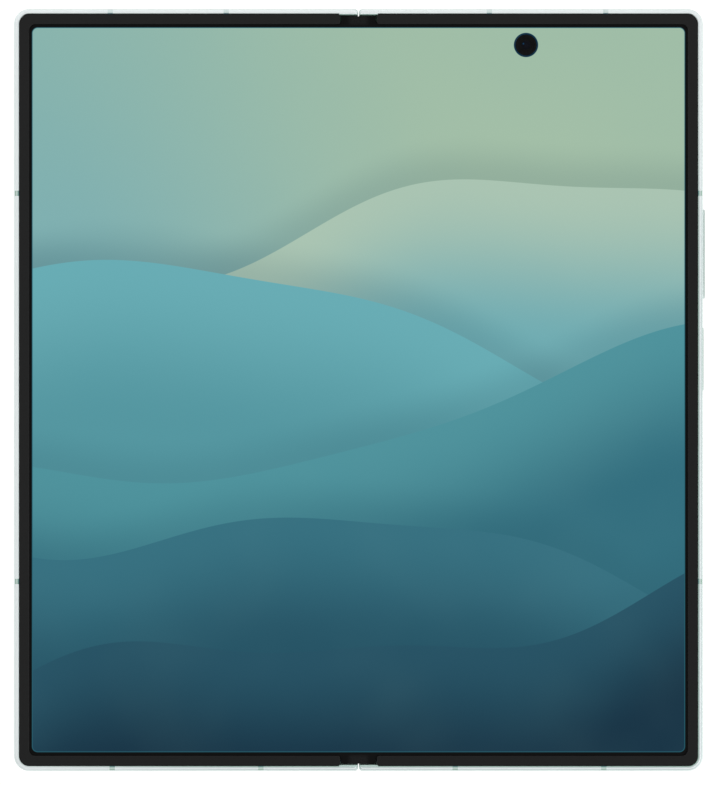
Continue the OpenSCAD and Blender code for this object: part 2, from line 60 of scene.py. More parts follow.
def arc(cx, cy, r, a0, a1, n):
    return [(cx + r * math.cos(math.radians(a0 + (a1 - a0) * i / n)),
             cy + r * math.sin(math.radians(a0 + (a1 - a0) * i / n))) for i in range(n + 1)]


def rr(x0, y0, x1, y1, q, n=12):
    """Counter-clockwise rounded rectangle; q is one radius or four (ll, lr, ur, ul)."""
    if not isinstance(q, (list, tuple)):
        q = [q] * 4
    out = []
    for (cx, cy, r, a, x, y) in ((x0 + q[0], y0 + q[0], q[0], 180, x0, y0), (x1 - q[1], y0 + q[1], q[1], 270, x1, y0),
                                 (x1 - q[2], y1 - q[2], q[2], 0, x1, y1), (x0 + q[3], y1 - q[3], q[3], 90, x0, y1)):
        out += [(x, y)] if r < 1e-6 else arc(cx, cy, r, a, a + 90, n)
    return out


def circle(cx, cy, r, n=48):
    return [(cx + r * math.cos(2 * math.pi * i / n), cy + r * math.sin(2 * math.pi * i / n)) for i in range(n)]


def inset(loop, d):
    """Counter-clockwise loop moved inwards by d (outwards if d is negative), with mitred corners."""
    if abs(d) < 1e-9:
        return list(loop)
    n = len(loop)
    out = []
    for i in range(n):
        p0, p1, p2 = Vector(loop[i - 1]), Vector(loop[i]), Vector(loop[(i + 1) % n])
        a, b = (p1 - p0), (p2 - p1)
        if a.length < 1e-9 or b.length < 1e-9:
            a = b = (p2 - p0)
        a, b = a.normalized(), b.normalized()
        na, nb = Vector((-a.y, a.x)), Vector((-b.y, b.x))
        m = na + nb
        m = na if m.length < 1e-6 else m / max(0.3, 1 + na.dot(nb))
        out.append((p1.x + m.x * d, p1.y + m.y * d))
    return out


def make(name, verts, faces, mat=None, smooth=32, M=None):
    """Mesh object from points in millimetres; M maps local axes to the row frame."""
    me = bpy.data.meshes.new(name)
    if M is not None:
        verts = [M @ Vector(v) for v in verts]
    me.from_pydata([(v[0] * MM, v[1] * MM, v[2] * MM) for v in verts], [], faces)
    me.validate()
    bm = bmesh.new()
    bm.from_mesh(me)
    bmesh.ops.remove_doubles(bm, verts=bm.verts, dist=1e-8)
    bmesh.ops.recalc_face_normals(bm, faces=bm.faces)
    bm.to_mesh(me)
    bm.free()
    o = bpy.data.objects.new(name, me)
    bpy.context.scene.collection.objects.link(o)
    finish_mesh(o, mat, smooth)
    return o


def finish_mesh(o, mat=None, smooth=32):
    me = o.data
    for p in me.polygons:
        p.use_smooth = smooth > 0
    if smooth > 0:
        me.set_sharp_from_angle(angle=math.radians(smooth))
    if mat is not None:
        me.materials.clear()
        me.materials.append(mat)


def weighted(o):
    m = o.modifiers.new("weighted_normals", "WEIGHTED_NORMAL")
    m.keep_sharp = True
    m.weight = 80
    return o


def skin(rings, close=True, cap0=True, cap1=True):
    """Faces between equal rings of points; returns points and faces."""
    n = len(rings[0])
    verts = [p for r in rings for p in r]
    faces = []
    for k in range(len(rings) - 1):
        for i in range(n if close else n - 1):
            j = (i + 1) % n
            faces.append((k * n + i, k * n + j, (k + 1) * n + j, (k + 1) * n + i))
    if cap0:
        faces.append(tuple(reversed(range(n))))
    if cap1:
        faces.append(tuple(range((len(rings) - 1) * n, len(rings) * n)))
    return verts, faces


def round_steps(r, k):
    """(inset, height) pairs of a quarter round of radius r, from the inset edge to the side."""
    return [(r * (1 - math.sin(math.radians(90 * i / k))), r * (1 - math.cos(math.radians(90 * i / k)))) for i in range(k + 1)]


def plate_geo(loop, z0, z1, r0=0.0, r1=0.0, k=4, holes=(), hr=0.0):
    """Plate with rounded edges r0 at z0 and r1 at z1. holes are counter-clockwise loops whose edges open by hr."""
    def levels(a, b, q0, q1, kk):
        out = [(i, a + h) for i, h in round_steps(q0, kk)] if q0 > 0 else [(0, a)]
        out += [(i, b - h) for i, h in reversed(round_steps(q1, kk))] if q1 > 0 else [(0, b)]
        return out
    verts, faces = [], []

    def add(ring_list, flip):
        base = len(verts)
        n = len(ring_list[0])
        for r in ring_list:
            verts.extend(r)
        for q in range(len(ring_list) - 1):
            for i in range(n):
                j = (i + 1) % n
                f = (base + q * n + i, base + q * n + j, base + (q + 1) * n + j, base + (q + 1) * n + i)
                faces.append(tuple(reversed(f)) if flip else f)
        return list(range(base, base + n)), list(range(base + (len(ring_list) - 1) * n, base + len(ring_list) * n))
    lo, hi = add([[(p[0], p[1], z) for p in inset(loop, i)] for i, z in levels(z0, z1, r0, r1, k)], False)
    lows, highs = [lo], [hi]
    for h in holes:
        l2, h2 = add([[(p[0], p[1], z) for p in inset(h, -i)] for i, z in levels(z0, z1, hr, hr, 3)], True)
        lows.append(l2)
        highs.append(h2)
    if not holes:
        faces.append(tuple(reversed(lo)))
        faces.append(tuple(hi))
    else:
        for group, flip in ((lows, True), (highs, False)):
            flat = [i for g in group for i in g]
            for tri in tessellate_polygon([[Vector(verts[i]) for i in g] for g in group]):
                f = tuple(flat[t] for t in tri)
                faces.append(f)
    return verts, faces


def plate(name, loop, z0, z1, r0=0.0, r1=0.0, mat=None, holes=(), hr=0.0, k=4, M=None, smooth=32):
    v, f = plate_geo(loop, z0, z1, r0, r1, k, holes, hr)
    return weighted(make(name, v, f, mat, smooth, M))


def lathe_geo(profile, n=64):
    """Profile of (r, z) turned about Z; closed solid when it starts and ends at r = 0, or is a closed loop."""
    verts, faces = [], []
    rings = []
    for r, z in profile:
        if r < 1e-6:
            rings.append([len(verts)])
            verts.append((0, 0, z))
        else:
            rings.append(list(range(len(verts), len(verts) + n)))
            verts += [(r * math.cos(2 * math.pi * i / n), r * math.sin(2 * math.pi * i / n), z) for i in range(n)]
    loop = profile[0][0] > 1e-6 and profile[-1][0] > 1e-6
    pairs = list(zip(rings, rings[1:])) + ([(rings[-1], rings[0])] if loop else [])
    for a, b in pairs:
        for i in range(n):
            j = (i + 1) % n
            if len(a) == 1 and len(b) == 1:
                continue
            if len(a) == 1:
                faces.append((a[0], b[j], b[i]))
            elif len(b) == 1:
                faces.append((a[i], a[j], b[0]))
            else:
                faces.append((a[i], a[j], b[j], b[i]))
    return verts, faces


def lathe(name, profile, at, mat, n=64, rot=None, smooth=32):
    v, f = lathe_geo(profile, n)
    M = Matrix.Translation(Vector(at)) @ (rot.to_4x4() if rot is not None else Matrix.Identity(4))
    return make(name, v, f, mat, smooth, M)


def merge(geos):
    verts, faces = [], []
    for v, f in geos:
        b = len(verts)
        verts += list(v)
        faces += [tuple(b + i for i in q) for q in f]
    return verts, faces


def boxg(x0, y0, z0, x1, y1, z1):
    return plate_geo([(x0, y0), (x1, y0), (x1, y1), (x0, y1)], z0, z1)


def boolean(o, cutters, op="DIFFERENCE"):
    """Applies one boolean per cutter and removes the cutters. If a union comes back empty the two meshes are joined as they are."""
    for c in cutters:
        m = o.modifiers.new("cut", "BOOLEAN")
        m.operation = op
        m.solver = "EXACT"
        m.object = c
        bpy.context.view_layer.update()
        dg = bpy.context.evaluated_depsgraph_get()
        me = bpy.data.meshes.new_from_object(o.evaluated_get(dg))
        o.modifiers.clear()
        if len(me.polygons) == 0:
            bm = bmesh.new()
            bm.from_mesh(o.data)
            if op == "UNION":
                bm.from_mesh(c.data)
            bm.to_mesh(me)
            bm.free()
        old = o.data
        o.data = me
        bpy.data.meshes.remove(old)
        bpy.data.objects.remove(c)
    return o


def tidy(o):
    """Welds what a boolean leaves behind and drops slivers."""
    bm = bmesh.new()
    bm.from_mesh(o.data)
    bmesh.ops.remove_doubles(bm, verts=bm.verts, dist=2e-7)
    bmesh.ops.dissolve_degenerate(bm, edges=bm.edges, dist=1e-7)
    bmesh.ops.recalc_face_normals(bm, faces=bm.faces)
    bm.to_mesh(o.data)
    bm.free()
    return o


def t(z):
    return CAM_H + z


FLIPX = Matrix.Scale(-1, 4, (1, 0, 0))
ALONG_Y = Matrix(((1, 0, 0, 0), (0, 0, 1, 0), (0, 1, 0, 0), (0, 0, 0, 1)))   # local (x, y, z) -> (x, z, y)
ALONG_X = Matrix(((0, 0, 1, 0), (1, 0, 0, 0), (0, 1, 0, 0), (0, 0, 0, 1)))   # local (x, y, z) -> (z, x, y)

# ---------------------------------------------------------------- materials


def srgb(r, g, b):
    def f(c):
        c /= 255
        return c / 12.92 if c <= 0.04045 else ((c + 0.055) / 1.055) ** 2.4
    return (f(r), f(g), f(b), 1.0)


class Nodes:
    """Small helper to write node trees."""

    def __init__(self, name):
        self.mat = bpy.data.materials.new(name)
        self.mat.use_nodes = True
        self.nt = self.mat.node_tree
        self.nt.nodes.clear()
        self.out = self.nt.nodes.new("ShaderNodeOutputMaterial")
        self.bsdf = self.nt.nodes.new("ShaderNodeBsdfPrincipled")
        self.nt.links.new(self.bsdf.outputs[0], self.out.inputs[0])

    def node(self, kind, **kw):
        n = self.nt.nodes.new(kind)
        for k, v in kw.items():
            setattr(n, k, v)
        return n

    def link(self, a, b):
        self.nt.links.new(a, b)

    def put(self, sock, v):
        if isinstance(v, bpy.types.NodeSocket):
            self.nt.links.new(v, sock)
        else:
            sock.default_value = v

    def math(self, op, a, b=0.0, c=0.0, clamp=False):
        n = self.node("ShaderNodeMath", operation=op, use_clamp=clamp)
        for s, v in zip(n.inputs, (a, b, c)):
            self.put(s, v)
        return n.outputs[0]

    def mix(self, f, a, b):
        n = self.node("ShaderNodeMix", data_type="RGBA")
        self.put(n.inputs["Factor"], f)
        self.put(n.inputs[6], a)
        self.put(n.inputs[7], b)
        return n.outputs[2]

    def smooth(self, x, lo, hi):
        n = self.node("ShaderNodeMapRange", interpolation_type="SMOOTHSTEP")
        self.put(n.inputs[0], x)
        self.put(n.inputs[1], lo)
        self.put(n.inputs[2], hi)
        self.put(n.inputs[3], 0.0)
        self.put(n.inputs[4], 1.0)
        return n.outputs[0]

    def ramp(self, x, stops, mode="EASE"):
        n = self.node("ShaderNodeValToRGB")
        n.color_ramp.interpolation = mode
        e = n.color_ramp.elements
        while len(e) < len(stops):
            e.new(0.5)
        for el, (p, c) in zip(e, stops):
            el.position = p
            el.color = c
        self.put(n.inputs[0], x)
        return n.outputs[0]

    def coords(self, scale=(1, 1, 1), kind="Object"):
        tc = self.node("ShaderNodeTexCoord")
        mp = self.node("ShaderNodeMapping")
        mp.inputs["Scale"].default_value = scale
        self.link(tc.outputs[kind], mp.inputs[0])
        return mp.outputs[0]

    def noise(self, vec, scale, detail=3.0, rough=0.55):
        n = self.node("ShaderNodeTexNoise")
        self.put(n.inputs["Vector"], vec)
        n.inputs["Scale"].default_value = scale
        n.inputs["Detail"].default_value = detail
        n.inputs["Roughness"].default_value = rough
        return n.outputs["Fac"]

    def bump(self, height, strength, dist):
        n = self.node("ShaderNodeBump")
        n.inputs["Strength"].default_value = strength
        n.inputs["Distance"].default_value = dist
        self.put(n.inputs["Height"], height)
        self.link(n.outputs[0], self.bsdf.inputs["Normal"])


def surface(name, col, col2=None, rough=0.4, rough_var=0.08, metal=0.0, grain=900.0, stretch=(1, 1, 1),
            bump=0.15, bump_mm=0.01, spec=0.5, coat=0.0, coat_rough=0.05, patch=60.0, patch_amt=0.35, patch_col=None):
    """Fine-grained finish: grain in bump and roughness, and a faint large-scale drift in colour."""
    m = Nodes(name)
    v = m.coords(stretch)
    g = m.noise(v, grain, 2.0)
    big = m.noise(m.coords(), patch, 3.0)
    col2 = col2 or tuple(min(1.0, c * 0.9) for c in col[:3]) + (1.0,)
    c = m.mix(m.math("MULTIPLY", m.smooth(big, 0.3, 0.75), patch_amt), col, patch_col or col2)
    c = m.mix(m.math("MULTIPLY", m.smooth(g, 0.4, 0.8), 0.35), c, col2)
    m.link(c, m.bsdf.inputs["Base Color"])
    r = m.math("ADD", rough - rough_var / 2, m.math("MULTIPLY", m.smooth(m.noise(v, grain * 0.31, 3.0), 0.3, 0.7), rough_var), clamp=True)
    m.link(r, m.bsdf.inputs["Roughness"])
    m.bsdf.inputs["Metallic"].default_value = metal
    m.bsdf.inputs["Specular IOR Level"].default_value = spec
    if coat:
        m.bsdf.inputs["Coat Weight"].default_value = coat
        m.bsdf.inputs["Coat Roughness"].default_value = coat_rough
    if bump:
        m.bump(g, bump, bump_mm * MM)
    return m.mat


def edge_depth(m):
    """Distance inwards from the half's outline, in millimetres, from the piece's own coordinates."""
    tc = m.node("ShaderNodeTexCoord")
    sep = m.node("ShaderNodeSeparateXYZ")
    m.link(tc.outputs["Object"], sep.inputs[0])
    x = m.math("MULTIPLY", m.math("ABSOLUTE", sep.outputs[0]), 1000.0)
    y = m.math("MULTIPLY", m.math("ABSOLUTE", sep.outputs[1]), 1000.0)
    cx, hx = (HX + 0.125) / 2, (HX - 0.125) / 2
    r = m.math("ADD", 0.72, m.math("MULTIPLY", m.math("GREATER_THAN", x, cx), 3.1 - 0.72))
    ax = m.math("ADD", m.math("SUBTRACT", m.math("ABSOLUTE", m.math("SUBTRACT", x, cx)), hx), r)
    ay = m.math("ADD", m.math("SUBTRACT", y, HY), r)
    qx, qy = m.math("MAXIMUM", ax, 0.0), m.math("MAXIMUM", ay, 0.0)
    d = m.math("SQRT", m.math("ADD", m.math("MULTIPLY", qx, qx), m.math("MULTIPLY", qy, qy)))
    d = m.math("ADD", d, m.math("MINIMUM", m.math("MAXIMUM", ax, ay), 0.0))
    return m.math("SUBTRACT", r, d), sep.outputs[2]


def band_of(m, n, lo, hi):
    """1 between lo and hi millimetres from the outline, with soft edges."""
    return m.math("MULTIPLY", m.smooth(n, lo - 0.03, lo + 0.03), m.smooth(n, hi + 0.03, hi - 0.03))


def rim_material(name, top, side, line, chamfer):
    """Anodised rim with painted light and shade: the top face painted brighter than the mint sides, which are painted
    shade, two painted shade hairlines, and a mint inner chamfer of painted shade, painted deeper on two sides.
    """
    m = Nodes(name)
    n, z = edge_depth(m)
    tc = m.node("ShaderNodeTexCoord")
    sep = m.node("ShaderNodeSeparateXYZ")
    m.link(tc.outputs["Object"], sep.inputs[0])
    # painted shade: f rises towards the right and lower sides, where the hairlines and the inner chamfer are painted
    # darker
    f = m.smooth(m.math("SUBTRACT", sep.outputs[0], sep.outputs[1]), -10 * MM, 60 * MM)
    # painted light and shade: the top face is painted brighter and the steep sides are painted darker mint
    up = m.smooth(z, t(2.5) * MM, t(3.2) * MM)
    c = m.mix(m.math("MULTIPLY", m.smooth(n, 0.05, 0.20), up), side, top)
    # painted shade: two hairlines across the top face, painted stronger on the right and lower sides
    c = m.mix(m.math("MULTIPLY", m.math("MULTIPLY", band_of(m, n, 0.21, 0.42), up), m.math("MULTIPLY_ADD", f, 0.6, 0.2)), c, line)
    c = m.mix(m.math("MULTIPLY", m.math("MULTIPLY", band_of(m, n, 0.63, 0.82), up), m.math("MULTIPLY", f, 0.7)), c, line)
    # painted shade: the inner chamfer is painted mint, deeper on the right and lower sides, and left out on the upper
    # edge beside the fold
    head = m.math("MULTIPLY", m.smooth(m.math("ABSOLUTE", sep.outputs[0]), 4.10 * MM, 3.90 * MM), m.math("GREATER_THAN", sep.outputs[1], 0.0))
    inner = m.math("MULTIPLY", m.math("MULTIPLY", m.smooth(n, 0.80, 0.86), up), m.math("MULTIPLY_ADD", f, 0.72, 0.28))
    c = m.mix(m.math("MULTIPLY", inner, m.math("SUBTRACT", 1.0, head)), c, chamfer)
    # beside the fold the rim is wider: painted light keeps the lower edge's inner part pale, and a painted shade line,
    # green, runs along the inner side of the upper one
    x, y = m.math("ABSOLUTE", sep.outputs[0]), sep.outputs[1]
    step = m.smooth(x, 4.10 * MM, 3.90 * MM)
    ny = m.math("SUBTRACT", HY, m.math("MULTIPLY", m.math("ABSOLUTE", y), 1000.0))
    c = m.mix(m.math("MULTIPLY", m.math("MULTIPLY", m.smooth(ny, 0.78, 0.86), step), m.math("LESS_THAN", y, 0.0)), c, srgb(194, 216, 209))
    c = m.mix(m.math("MULTIPLY", m.math("MULTIPLY", m.smooth(ny, 1.03, 1.08), step), m.math("GREATER_THAN", y, 0.0)), c, srgb(132, 160, 150))
    # shaded inner lip along the upper edge
    lip = m.math("MULTIPLY", m.math("MULTIPLY", m.smooth(n, 0.88, 0.94), m.smooth(y, 77.7 * MM, 78.15 * MM)), m.math("SUBTRACT", 1.0, step))
    c = m.mix(m.math("MULTIPLY", lip, up), c, srgb(62, 68, 67))
    drift = m.noise(m.coords(), 25.0, 3.0)
    c = m.mix(m.math("MULTIPLY", m.smooth(drift, 0.3, 0.75), 0.10), c, side)
    g = m.noise(m.coords(), 5200.0, 2.0)
    c = m.mix(m.math("MULTIPLY", m.smooth(g, 0.4, 0.8), 0.10), c, side)
    m.link(c, m.bsdf.inputs["Base Color"])
    m.link(m.math("ADD", 0.34, m.math("MULTIPLY", m.smooth(m.noise(m.coords(), 1600.0, 3.0), 0.3, 0.7), 0.08)), m.bsdf.inputs["Roughness"])
    m.bsdf.inputs["Metallic"].default_value = 0.06
    m.bump(g, 0.12, 0.004 * MM)
    return m.mat


def line_material():
    """Moulded antenna line with painted light and shade: painted grey-green shade on the side, paler on top with a
    painted shade hairline and a teal foot at the screen border, and painted lighter on the upper edge than on the
    lower.
    """
    m = Nodes("antenna_line")
    n, z = edge_depth(m)
    up = m.smooth(z, t(2.5) * MM, t(3.2) * MM)
    g = m.noise(m.coords(), 2600.0, 2.0)
    tc = m.node("ShaderNodeTexCoord")
    sep = m.node("ShaderNodeSeparateXYZ")
    m.link(tc.outputs["Object"], sep.inputs[0])
    # painted light: the lines on the upper edge (high) are painted paler than those on the lower edge (low), with a
    # darker teal foot
    head = m.smooth(sep.outputs[1], 60 * MM, 70 * MM)
    low = m.mix(band_of(m, n, 0.20, 0.42), srgb(206, 221, 217), srgb(146, 180, 163))
    low = m.mix(band_of(m, n, 0.62, 0.84), low, srgb(170, 197, 186))
    low = m.mix(m.smooth(n, 0.80, 0.88), low, srgb(84, 132, 132))
    high = m.mix(band_of(m, n, 0.20, 0.42), srgb(220, 232, 231), srgb(214, 228, 227))
    high = m.mix(band_of(m, n, 0.62, 0.84), high, srgb(205, 220, 218))
    high = m.mix(m.smooth(n, 0.82, 0.88), high, srgb(36, 84, 98))
    high = m.mix(m.smooth(n, 0.14, 0.04), high, srgb(168, 188, 186))
    # painted shade: the steep sides are painted grey-green
    c = m.mix(up, srgb(166, 190, 179), m.mix(head, low, high))
    c = m.mix(m.math("MULTIPLY", m.smooth(g, 0.4, 0.8), 0.2), c, srgb(160, 184, 174))
    m.link(c, m.bsdf.inputs["Base Color"])
    m.link(m.math("ADD", 0.45, m.math("MULTIPLY", g, 0.12)), m.bsdf.inputs["Roughness"])
    m.bump(g, 0.2, 0.006 * MM)
    return m.mat


def key_material(name, x_face, y0, y1, lo, hi, line):
    """Key cap with painted light and shade: the outward face painted in mint shade, the flanks painted light, and a
    painted shade line along the rounded edge.
    """
    m = Nodes(name)
    tc = m.node("ShaderNodeTexCoord")
    sep = m.node("ShaderNodeSeparateXYZ")
    m.link(tc.outputs["Object"], sep.inputs[0])
    x = m.math("MULTIPLY", sep.outputs[0], 1000.0)
    y = m.math("MULTIPLY", sep.outputs[1], 1000.0)
    z = m.math("MULTIPLY", sep.outputs[2], 1000.0)
    face = m.math("SUBTRACT", x_face, x)
    qy = m.math("MAXIMUM", m.math("SUBTRACT", m.math("ABSOLUTE", m.math("SUBTRACT", y, (y0 + y1) / 2)), (y1 - y0) / 2 - 0.88), 0.0)
    qz = m.math("MAXIMUM", m.math("SUBTRACT", m.math("ABSOLUTE", m.math("SUBTRACT", z, t(2.1))), 0.02), 0.0)
    rim = m.math("SUBTRACT", 0.88, m.math("SQRT", m.math("ADD", m.math("MULTIPLY", qy, qy), m.math("MULTIPLY", qz, qz))))
    # painted shade: the outermost 0.12 mm, the steep outward face, is painted mint and the flanks light
    c = m.mix(m.smooth(face, 0.12, 0.24), srgb(188, 210, 203), srgb(246, 251, 252))
    # painted shade: a darker line along the outer edge and the rounded ends
    c = m.mix(m.smooth(m.math("MAXIMUM", face, m.math("MULTIPLY", rim, 0.6)), lo, hi), line, c)
    g = m.noise(m.coords(), 5200.0, 2.0)
    c = m.mix(m.math("MULTIPLY", m.smooth(g, 0.4, 0.8), 0.12), c, srgb(190, 208, 202))
    m.link(c, m.bsdf.inputs["Base Color"])
    m.link(m.math("ADD", 0.3, m.math("MULTIPLY", g, 0.1)), m.bsdf.inputs["Roughness"])
    m.bsdf.inputs["Metallic"].default_value = 0.06
    m.bump(g, 0.12, 0.004 * MM)
    return m.mat


def border_material():
    """Soft black screen border with a darker joint against the rim."""
    m = Nodes("screen_border")
    n, z = edge_depth(m)
    g = m.noise(m.coords(), 3400.0, 2.0)
    tc = m.node("ShaderNodeTexCoord")
    sep = m.node("ShaderNodeSeparateXYZ")
    m.link(tc.outputs["Object"], sep.inputs[0])
    # painted shade: the border is painted a touch darker towards the right and lower sides
    f = m.smooth(m.math("SUBTRACT", sep.outputs[0], sep.outputs[1]), -10 * MM, 60 * MM)
    c = m.mix(m.math("MULTIPLY", m.smooth(g, 0.35, 0.75), 0.5), m.mix(f, srgb(21, 21, 21), srgb(16, 16, 16)), srgb(12, 12, 12))
    c = m.mix(m.smooth(n, 1.24, 1.14), c, srgb(1, 1, 1))
    m.link(c, m.bsdf.inputs["Base Color"])
    m.link(m.math("ADD", 0.5, m.math("MULTIPLY", g, 0.15)), m.bsdf.inputs["Roughness"])
    m.bsdf.inputs["Specular IOR Level"].default_value = 0.28
    m.bump(g, 0.3, 0.008 * MM)
    return m.mat


frame_mat = rim_material("frame_metal", srgb(246, 251, 252), srgb(188, 210, 203), srgb(180, 197, 196), srgb(158, 187, 176))
rail_mat = surface("rail_metal", srgb(192, 213, 206), srgb(178, 200, 192), rough=0.36, rough_var=0.06, metal=0.2, grain=6400, bump=0.12, bump_mm=0.004, patch=25, patch_amt=0.2)
volume_mat = key_material("volume_key_metal", HX + 0.42, 19.0, 37.6, 0.15, 0.18, srgb(122, 154, 140))
power_mat = key_material("power_key_metal", HX + 0.18, -0.2, 13.0, 0.10, 0.16, srgb(132, 163, 149))
band_mat = line_material()
bezel_mat = border_material()
film_mat = surface("hinge_film", srgb(8, 8, 9), srgb(13, 13, 13), rough=0.6, rough_var=0.12, grain=2600, bump=0.4, bump_mm=0.01, patch=300, patch_amt=0.5, spec=0.25)
back_mat = surface("back_glass", srgb(205, 222, 218), srgb(190, 210, 204), rough=0.38, rough_var=0.05, grain=7000, bump=0.08, bump_mm=0.003, patch=14, patch_amt=0.35, spec=0.5, coat=0.25, coat_rough=0.28)
cover_mat = surface("cover_glass", srgb(9, 10, 12), srgb(13, 15, 18), rough=0.06, rough_var=0.03, grain=600, bump=0.0, patch=20, patch_amt=0.5, spec=0.22)
island_mat = surface("island_metal", srgb(196, 215, 209), srgb(180, 201, 193), rough=0.36, rough_var=0.08, metal=0.25, grain=5200, bump=0.12, bump_mm=0.004, patch=30, patch_amt=0.25)
ring_mat = surface("ring_metal", srgb(205, 216, 213), srgb(170, 184, 180), rough=0.2, rough_var=0.08, metal=0.95, grain=3000, stretch=(1, 1, 0.05), bump=0.15, bump_mm=0.003, patch=50, patch_amt=0.2)
barrel_mat = surface("lens_barrel", srgb(14, 14, 16), srgb(22, 22, 25), rough=0.45, rough_var=0.12, grain=2200, bump=0.25, bump_mm=0.006, patch=100, patch_amt=0.4, spec=0.4)
steel_mat = surface("hinge_steel", srgb(168, 171, 174), srgb(146, 149, 153), rough=0.3, rough_var=0.14, metal=0.95, grain=2600, stretch=(1, 0.06, 1), bump=0.2, bump_mm=0.004, patch=90, patch_amt=0.4)
plate_mat = surface("plate_steel", srgb(150, 152, 154), srgb(130, 133, 136), rough=0.34, rough_var=0.15, metal=0.9, grain=2400, stretch=(0.06, 1, 1), bump=0.2, bump_mm=0.004, patch=50, patch_amt=0.4)
gear_mat = surface("gear_bronze", srgb(176, 160, 118), srgb(150, 134, 96), rough=0.33, rough_var=0.12, metal=0.9, grain=2600, bump=0.2, bump_mm=0.004, patch=200, patch_amt=0.5)
spine_mat = surface("spine_metal", srgb(196, 214, 209), srgb(174, 194, 187), rough=0.3, rough_var=0.09, metal=0.6, grain=4200, stretch=(1, 0.04, 1), bump=0.14, bump_mm=0.004, patch=25, patch_amt=0.3)
screw_mat = surface("screw_steel", srgb(96, 98, 102), srgb(74, 76, 80), rough=0.35, rough_var=0.1, metal=0.9, grain=2600, bump=0.2, bump_mm=0.004, patch=200, patch_amt=0.4)
port_mat = surface("port_steel", srgb(170, 173, 175), srgb(140, 143, 146), rough=0.28, rough_var=0.12, metal=0.95, grain=2600, stretch=(1, 0.08, 1), bump=0.15, bump_mm=0.004, patch=120, patch_amt=0.4)
cell_mat = surface("cell_foil", srgb(42, 44, 47), srgb(58, 60, 64), rough=0.36, rough_var=0.12, metal=0.2, grain=1300, bump=0.35, bump_mm=0.02, patch=60, patch_amt=0.5)
magnet_mat = surface("magnet", srgb(150, 152, 156), srgb(120, 123, 128), rough=0.25, rough_var=0.15, metal=0.95, grain=1600, bump=0.2, bump_mm=0.006, patch=150, patch_amt=0.4)
copper_mat = surface("coil_copper", srgb(184, 112, 66), srgb(150, 84, 48), rough=0.3, rough_var=0.12, metal=0.9, grain=2400, bump=0.2, bump_mm=0.005, patch=150, patch_amt=0.4)
flex_mat = surface("flex_cable", srgb(150, 92, 34), srgb(118, 68, 24), rough=0.42, rough_var=0.12, grain=1500, stretch=(0.1, 1, 1), bump=0.3, bump_mm=0.01, patch=120, patch_amt=0.4, coat=0.2, coat_rough=0.2)
black_mat = surface("module_black", srgb(26, 26, 28), srgb(36, 36, 39), rough=0.5, rough_var=0.14, grain=2000, bump=0.3, bump_mm=0.01, patch=120, patch_amt=0.4)
inner_barrel_mat = surface("inner_camera_barrel", srgb(5, 5, 6), srgb(11, 11, 12), rough=0.5, rough_var=0.2, grain=900.0, bump=0.35, bump_mm=0.01, patch=1500, patch_amt=0.9, spec=0.12, patch_col=srgb(17, 17, 18))
well_mat = surface("inner_camera_edge", srgb(3, 54, 80), srgb(2, 40, 62), rough=0.4, rough_var=0.1, grain=1800, bump=0.1, bump_mm=0.004, patch=400, patch_amt=0.4, spec=0.1)
mesh_mat = surface("grille_mesh", srgb(34, 36, 38), srgb(64, 67, 70), rough=0.45, rough_var=0.1, metal=0.6, grain=5200, bump=0.6, bump_mm=0.03, patch=300, patch_amt=0.4)
gold_mat = surface("contact_gold", srgb(214, 176, 96), srgb(190, 150, 74), rough=0.25, rough_var=0.1, metal=1.0, grain=2600, bump=0.1, bump_mm=0.003, patch=200, patch_amt=0.3)


def board_material():
    m = Nodes("circuit_board")
    v = m.coords()
    b = m.node("ShaderNodeTexVoronoi", feature="DISTANCE_TO_EDGE")
    m.put(b.inputs["Vector"], v)
    b.inputs["Scale"].default_value = 420
    track = m.smooth(b.outputs["Distance"], 0.02, 0.06)
    big = m.noise(v, 130, 2.0)
    c = m.mix(track, srgb(58, 120, 92), srgb(22, 74, 54))
    c = m.mix(m.smooth(big, 0.62, 0.66), c, srgb(168, 170, 172))
    m.link(c, m.bsdf.inputs["Base Color"])
    m.link(m.math("ADD", 0.3, m.math("MULTIPLY", big, 0.2)), m.bsdf.inputs["Roughness"])
    m.bump(track, 0.3, 0.02 * MM)
    return m.mat


def lens_glass(name, tint, tint2, glint_spot=None):
    """Dark coated glass; the coating's tint drifts from the middle to the rim by the piece's own coordinates."""
    m = Nodes(name)
    v = m.coords(kind="Generated")
    g = m.node("ShaderNodeTexGradient", gradient_type="SPHERICAL")
    mp = m.node("ShaderNodeMapping")
    mp.inputs["Location"].default_value = (-1.0, -1.0, -0.5)
    mp.inputs["Scale"].default_value = (2, 2, 0.5)
    m.link(v, mp.inputs[0])
    m.link(mp.outputs[0], g.inputs[0])
    c = m.mix(m.smooth(g.outputs["Fac"], 0.05, 0.8), tint, tint2)
    if glint_spot:
        # painted glint: a small blue reflection spot on the glass, placed as a share of the piece's width from its
        # middle
        sep = m.node("ShaderNodeSeparateXYZ")
        m.link(v, sep.inputs[0])
        dx, dy = m.math("SUBTRACT", sep.outputs[0], 0.5 + glint_spot[0]), m.math("SUBTRACT", sep.outputs[1], 0.5 + glint_spot[1])
        dd = m.math("SQRT", m.math("ADD", m.math("MULTIPLY", dx, dx), m.math("MULTIPLY", dy, dy)))
        c = m.mix(m.smooth(dd, 0.11, 0.05), c, srgb(24, 74, 110))
    m.link(c, m.bsdf.inputs["Base Color"])
    n = m.noise(m.coords(), 500, 2.0)
    m.link(m.math("ADD", 0.03, m.math("MULTIPLY", n, 0.05)), m.bsdf.inputs["Roughness"])
    m.bsdf.inputs["Specular IOR Level"].default_value = 0.32
    m.bsdf.inputs["Specular Tint"].default_value = srgb(150, 168, 215)
    return m.mat


